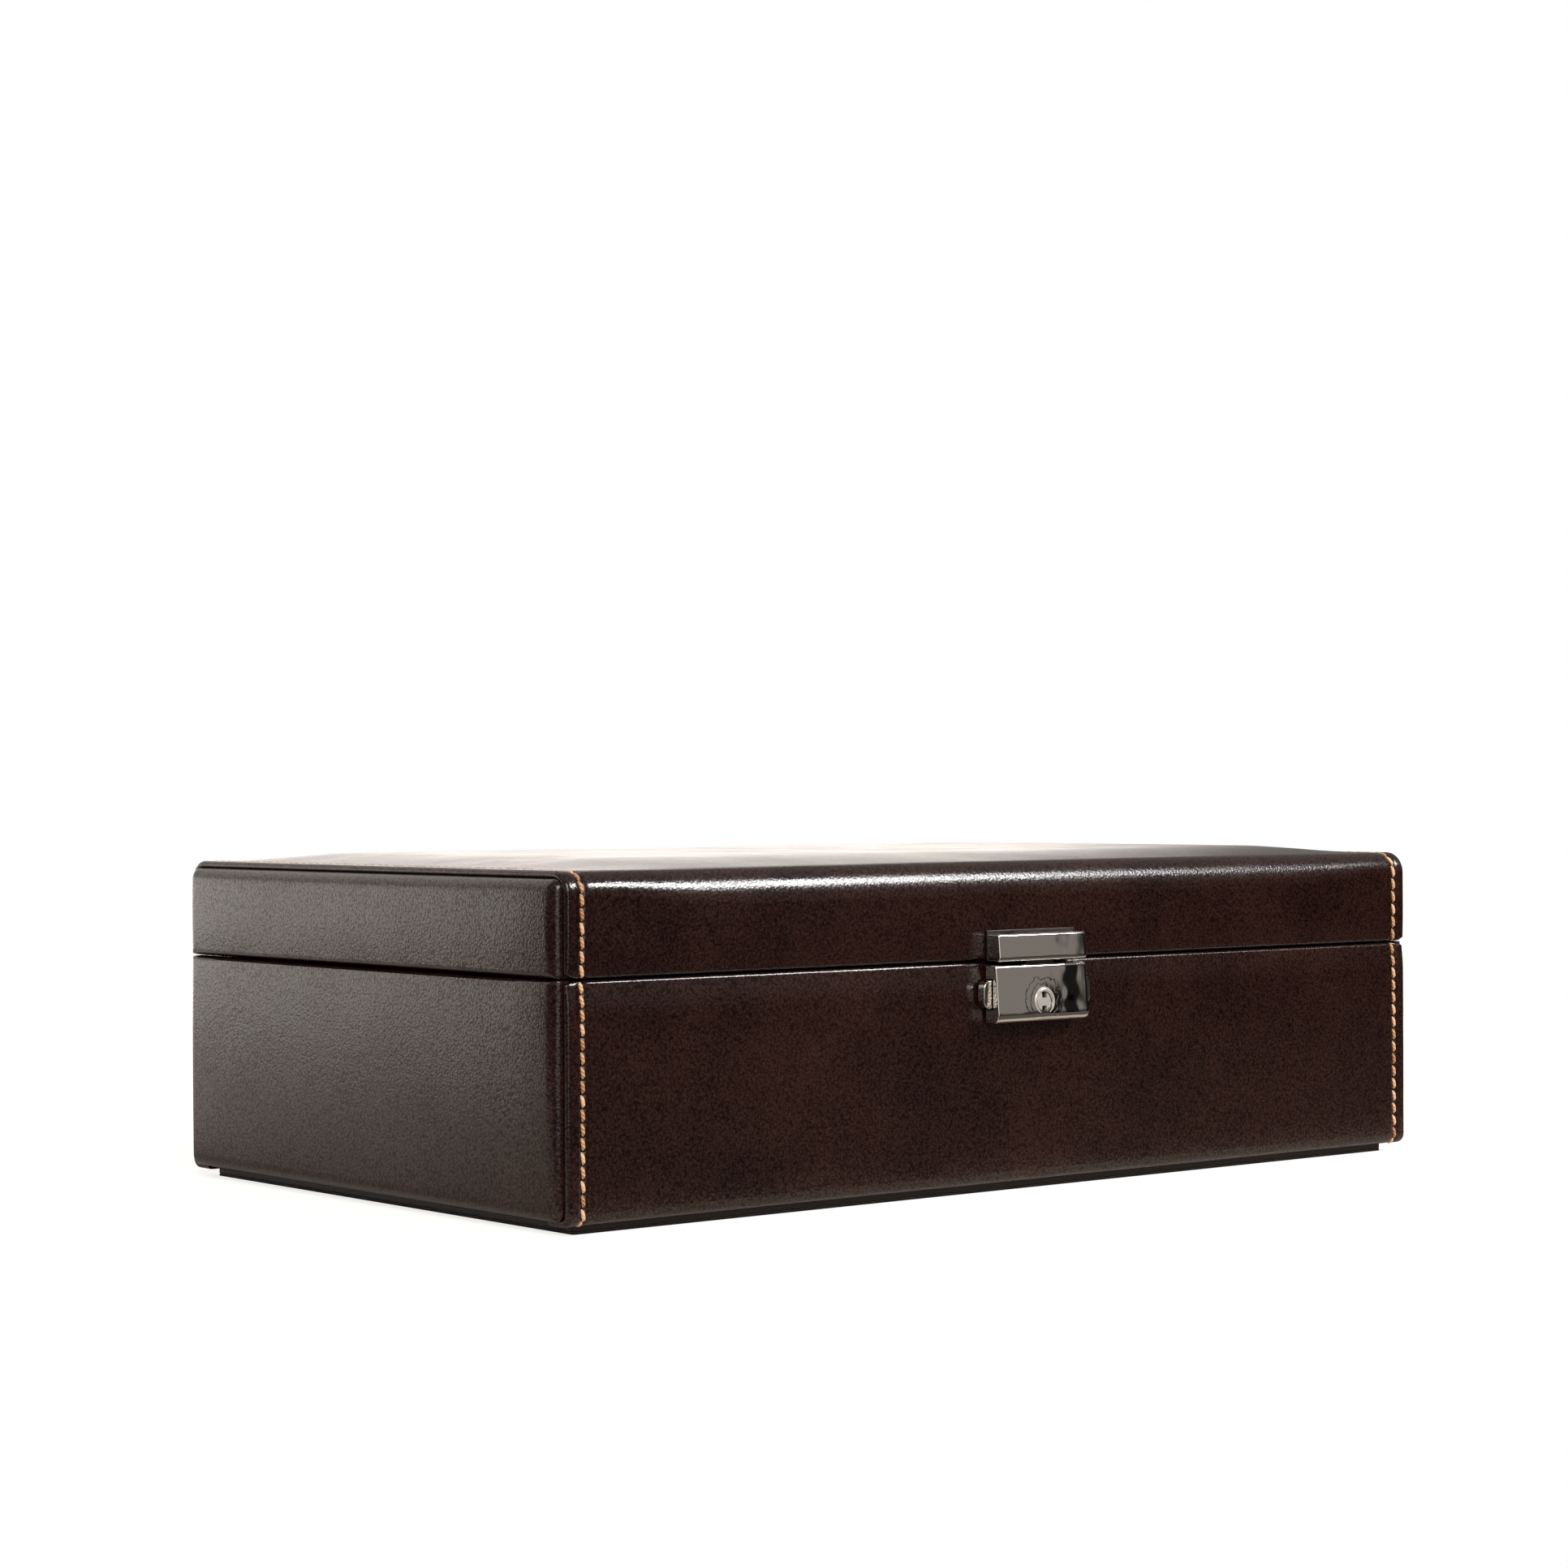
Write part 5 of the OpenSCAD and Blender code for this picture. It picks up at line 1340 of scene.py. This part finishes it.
def studioWorld():  # white for the camera; for the rest a lit backdrop behind the box and a dim room
    world = bpy.data.worlds.new("studio")
    bpy.context.scene.world = world
    world.use_nodes = True
    world.node_tree.nodes.clear()
    add = partial(addNode, world.node_tree)
    soft = {"interpolation_type": "SMOOTHSTEP"}
    ceiling, wallTop, ceilingFoot = studio["ceiling"]
    skirt, skirtTop, wallFoot = studio["skirt"]
    part = add("ShaderNodeSeparateXYZ", i0=add("ShaderNodeTexCoord").outputs["Generated"]).outputs
    turn = add("ShaderNodeMath", "ARCTAN2", i0=part["X"], i1=part["Y"])
    azimuth = add("ShaderNodeMath", "MULTIPLY", i0=turn, i1=180 / pi)
    rise = add("ShaderNodeMath", "ARCSINE", i0=part["Z"])
    height = add("ShaderNodeMath", "MULTIPLY", i0=rise, i1=180 / pi)

    # the backdrop's outline and its strength
    left, right = studio["backdrop"]
    soft0, soft1 = studio["backdropEdge"]
    low, high, lean = studio["backdropLean"]
    raised = add("ShaderNodeMapRange", soft, Value=height, From_Min=low, From_Max=high)
    edge = add("ShaderNodeMath", "MULTIPLY_ADD", i0=raised, i1=lean, i2=left)
    inside = add("ShaderNodeMath", "SUBTRACT", i0=azimuth, i1=edge)
    inLeft = add("ShaderNodeMapRange", soft, Value=inside, From_Min=-soft0, From_Max=soft0)
    inRight = add("ShaderNodeMapRange", soft, Value=azimuth, From_Min=right + soft1, From_Max=right - soft1)
    lit = add("ShaderNodeMath", "MULTIPLY", i0=inLeft, i1=inRight)
    foot, flat, slow, even = studio["backdropFall"]
    over = add("ShaderNodeMath", "MAXIMUM", i0=height, i1=flat)
    over = add("ShaderNodeMath", "MULTIPLY", i0=over, i1=-1 / slow)
    fall = add("ShaderNodeMath", "EXPONENT", i0=over)
    bright = add("ShaderNodeMath", "MULTIPLY_ADD", i0=fall, i1=(foot - ceiling) * even, i2=ceiling)

    # the room: dark foot, wall, ceiling, a dark doorway and a window
    above = add("ShaderNodeMapRange", soft, Value=height, From_Min=skirtTop, From_Max=wallFoot)
    room = add("ShaderNodeMath", "MULTIPLY_ADD", i0=above, i1=studio["wall"] - skirt, i2=skirt)
    above = add("ShaderNodeMapRange", soft, Value=height, From_Min=wallTop, From_Max=ceilingFoot)
    room = add("ShaderNodeMath", "MULTIPLY_ADD", i0=above, i1=ceiling - studio["wall"], i2=room)
    openings = []
    for (way, half, edge, _), heights in ((studio["doorway"], [studio["doorTop"]]),
                                          (studio["pane"], studio["paneHeight"])):
        apart = add("ShaderNodeMath", "SUBTRACT", i0=azimuth, i1=way)
        apart = add("ShaderNodeMath", "ABSOLUTE", i0=apart)
        within = add("ShaderNodeMapRange", soft, Value=apart, From_Min=half + edge, From_Max=half - edge)
        for low, high in heights:
            level = add("ShaderNodeMapRange", soft, Value=height, From_Min=low, From_Max=high)
            within = add("ShaderNodeMath", "MULTIPLY", i0=within, i1=level)
        openings.append(within)
    left = add("ShaderNodeMath", "MULTIPLY_ADD", i0=openings[0], i1=-studio["doorway"][3], i2=1.0)
    room = add("ShaderNodeMath", "MULTIPLY", i0=room, i1=left)
    room = add("ShaderNodeMath", "MULTIPLY_ADD", i0=openings[1], i1=studio["pane"][3], i2=room)

    # both together, and plain white for the camera
    unlit = add("ShaderNodeMath", "SUBTRACT", i0=1.0, i1=lit)
    shares = [add("ShaderNodeMath", "MULTIPLY", i0=a, i1=b) for a, b in ((lit, bright), (unlit, room))]
    around = add("ShaderNodeMath", "ADD", i0=shares[0], i1=shares[1])
    ray = add("ShaderNodeLightPath").outputs
    mirrored = add("ShaderNodeMath", "MAXIMUM", i0=ray["Is Glossy Ray"], i1=ray["Is Transmission Ray"])
    mirrored = add("ShaderNodeMath", "MULTIPLY", i0=mirrored, i1=lit)
    white = add("ShaderNodeMath", "MAXIMUM", i0=ray["Is Camera Ray"], i1=mirrored)
    shown = add("ShaderNodeMath", "MAXIMUM", i0=around, i1=white)
    lack = add("ShaderNodeMath", "SUBTRACT", i0=1.0, i1=shown)
    strength = add("ShaderNodeMath", "MULTIPLY_ADD", i0=ray["Is Camera Ray"], i1=lack, i2=shown)
    tint = add("ShaderNodeMix", {"data_type": "RGBA"}, i0=ray["Is Camera Ray"],
               i6=linear(studio["roomTint"]), i7=linear("#ffffff"))
    back = add("ShaderNodeBackground", Color=tint.outputs["Result"], Strength=strength)
    add("ShaderNodeOutputWorld", Surface=back)


def studioLight(name, at, size, power):
    data = bpy.data.lights.new(name, "AREA")
    data.shape = "RECTANGLE"
    data.size, data.size_y = size
    data.energy = power
    lamp = bpy.data.objects.new(name, data)
    bpy.context.collection.objects.link(lamp)
    aim = (Vector(studio["lampAim"]) - Vector(at)).to_track_quat("-Z", "Y")
    lamp.matrix_world = Matrix.Translation(at) @ aim.to_matrix().to_4x4()


photoCamera = {
    "place": (-0.6227, -0.749612, 0.106349),
    "yaw": 39.22, "pitch": 0.078, "roll": -0.229,   # degrees
    "lens": 78.68, "sensor": 36.0,
}


def studioCamera():
    c = photoCamera
    yaw, pitch, roll = (radians(c[k]) for k in ("yaw", "pitch", "roll"))
    ahead = Vector((sin(yaw) * cos(pitch), cos(yaw) * cos(pitch), sin(pitch)))
    right = Vector((cos(yaw), -sin(yaw), 0))
    up = right.cross(ahead)
    across = right * cos(roll) + up * sin(roll)
    above = -right * sin(roll) + up * cos(roll)
    data = bpy.data.cameras.new("photoCamera")
    data.lens, data.sensor_width = c["lens"], c["sensor"]
    data.clip_start, data.clip_end = 0.01, 200
    camera = bpy.data.objects.new("photoCamera", data)
    bpy.context.collection.objects.link(camera)
    turn = Matrix((across, above, -ahead)).transposed()
    camera.matrix_world = Matrix.Translation(c["place"]) @ turn.to_4x4()
    bpy.context.scene.camera = camera


studioFloor()
studioWorld()
for name, lamp in studio["lamps"].items():
    studioLight(name, *lamp)
studioCamera()
bpy.context.scene.view_settings.view_transform = "Standard"
print("studio made")
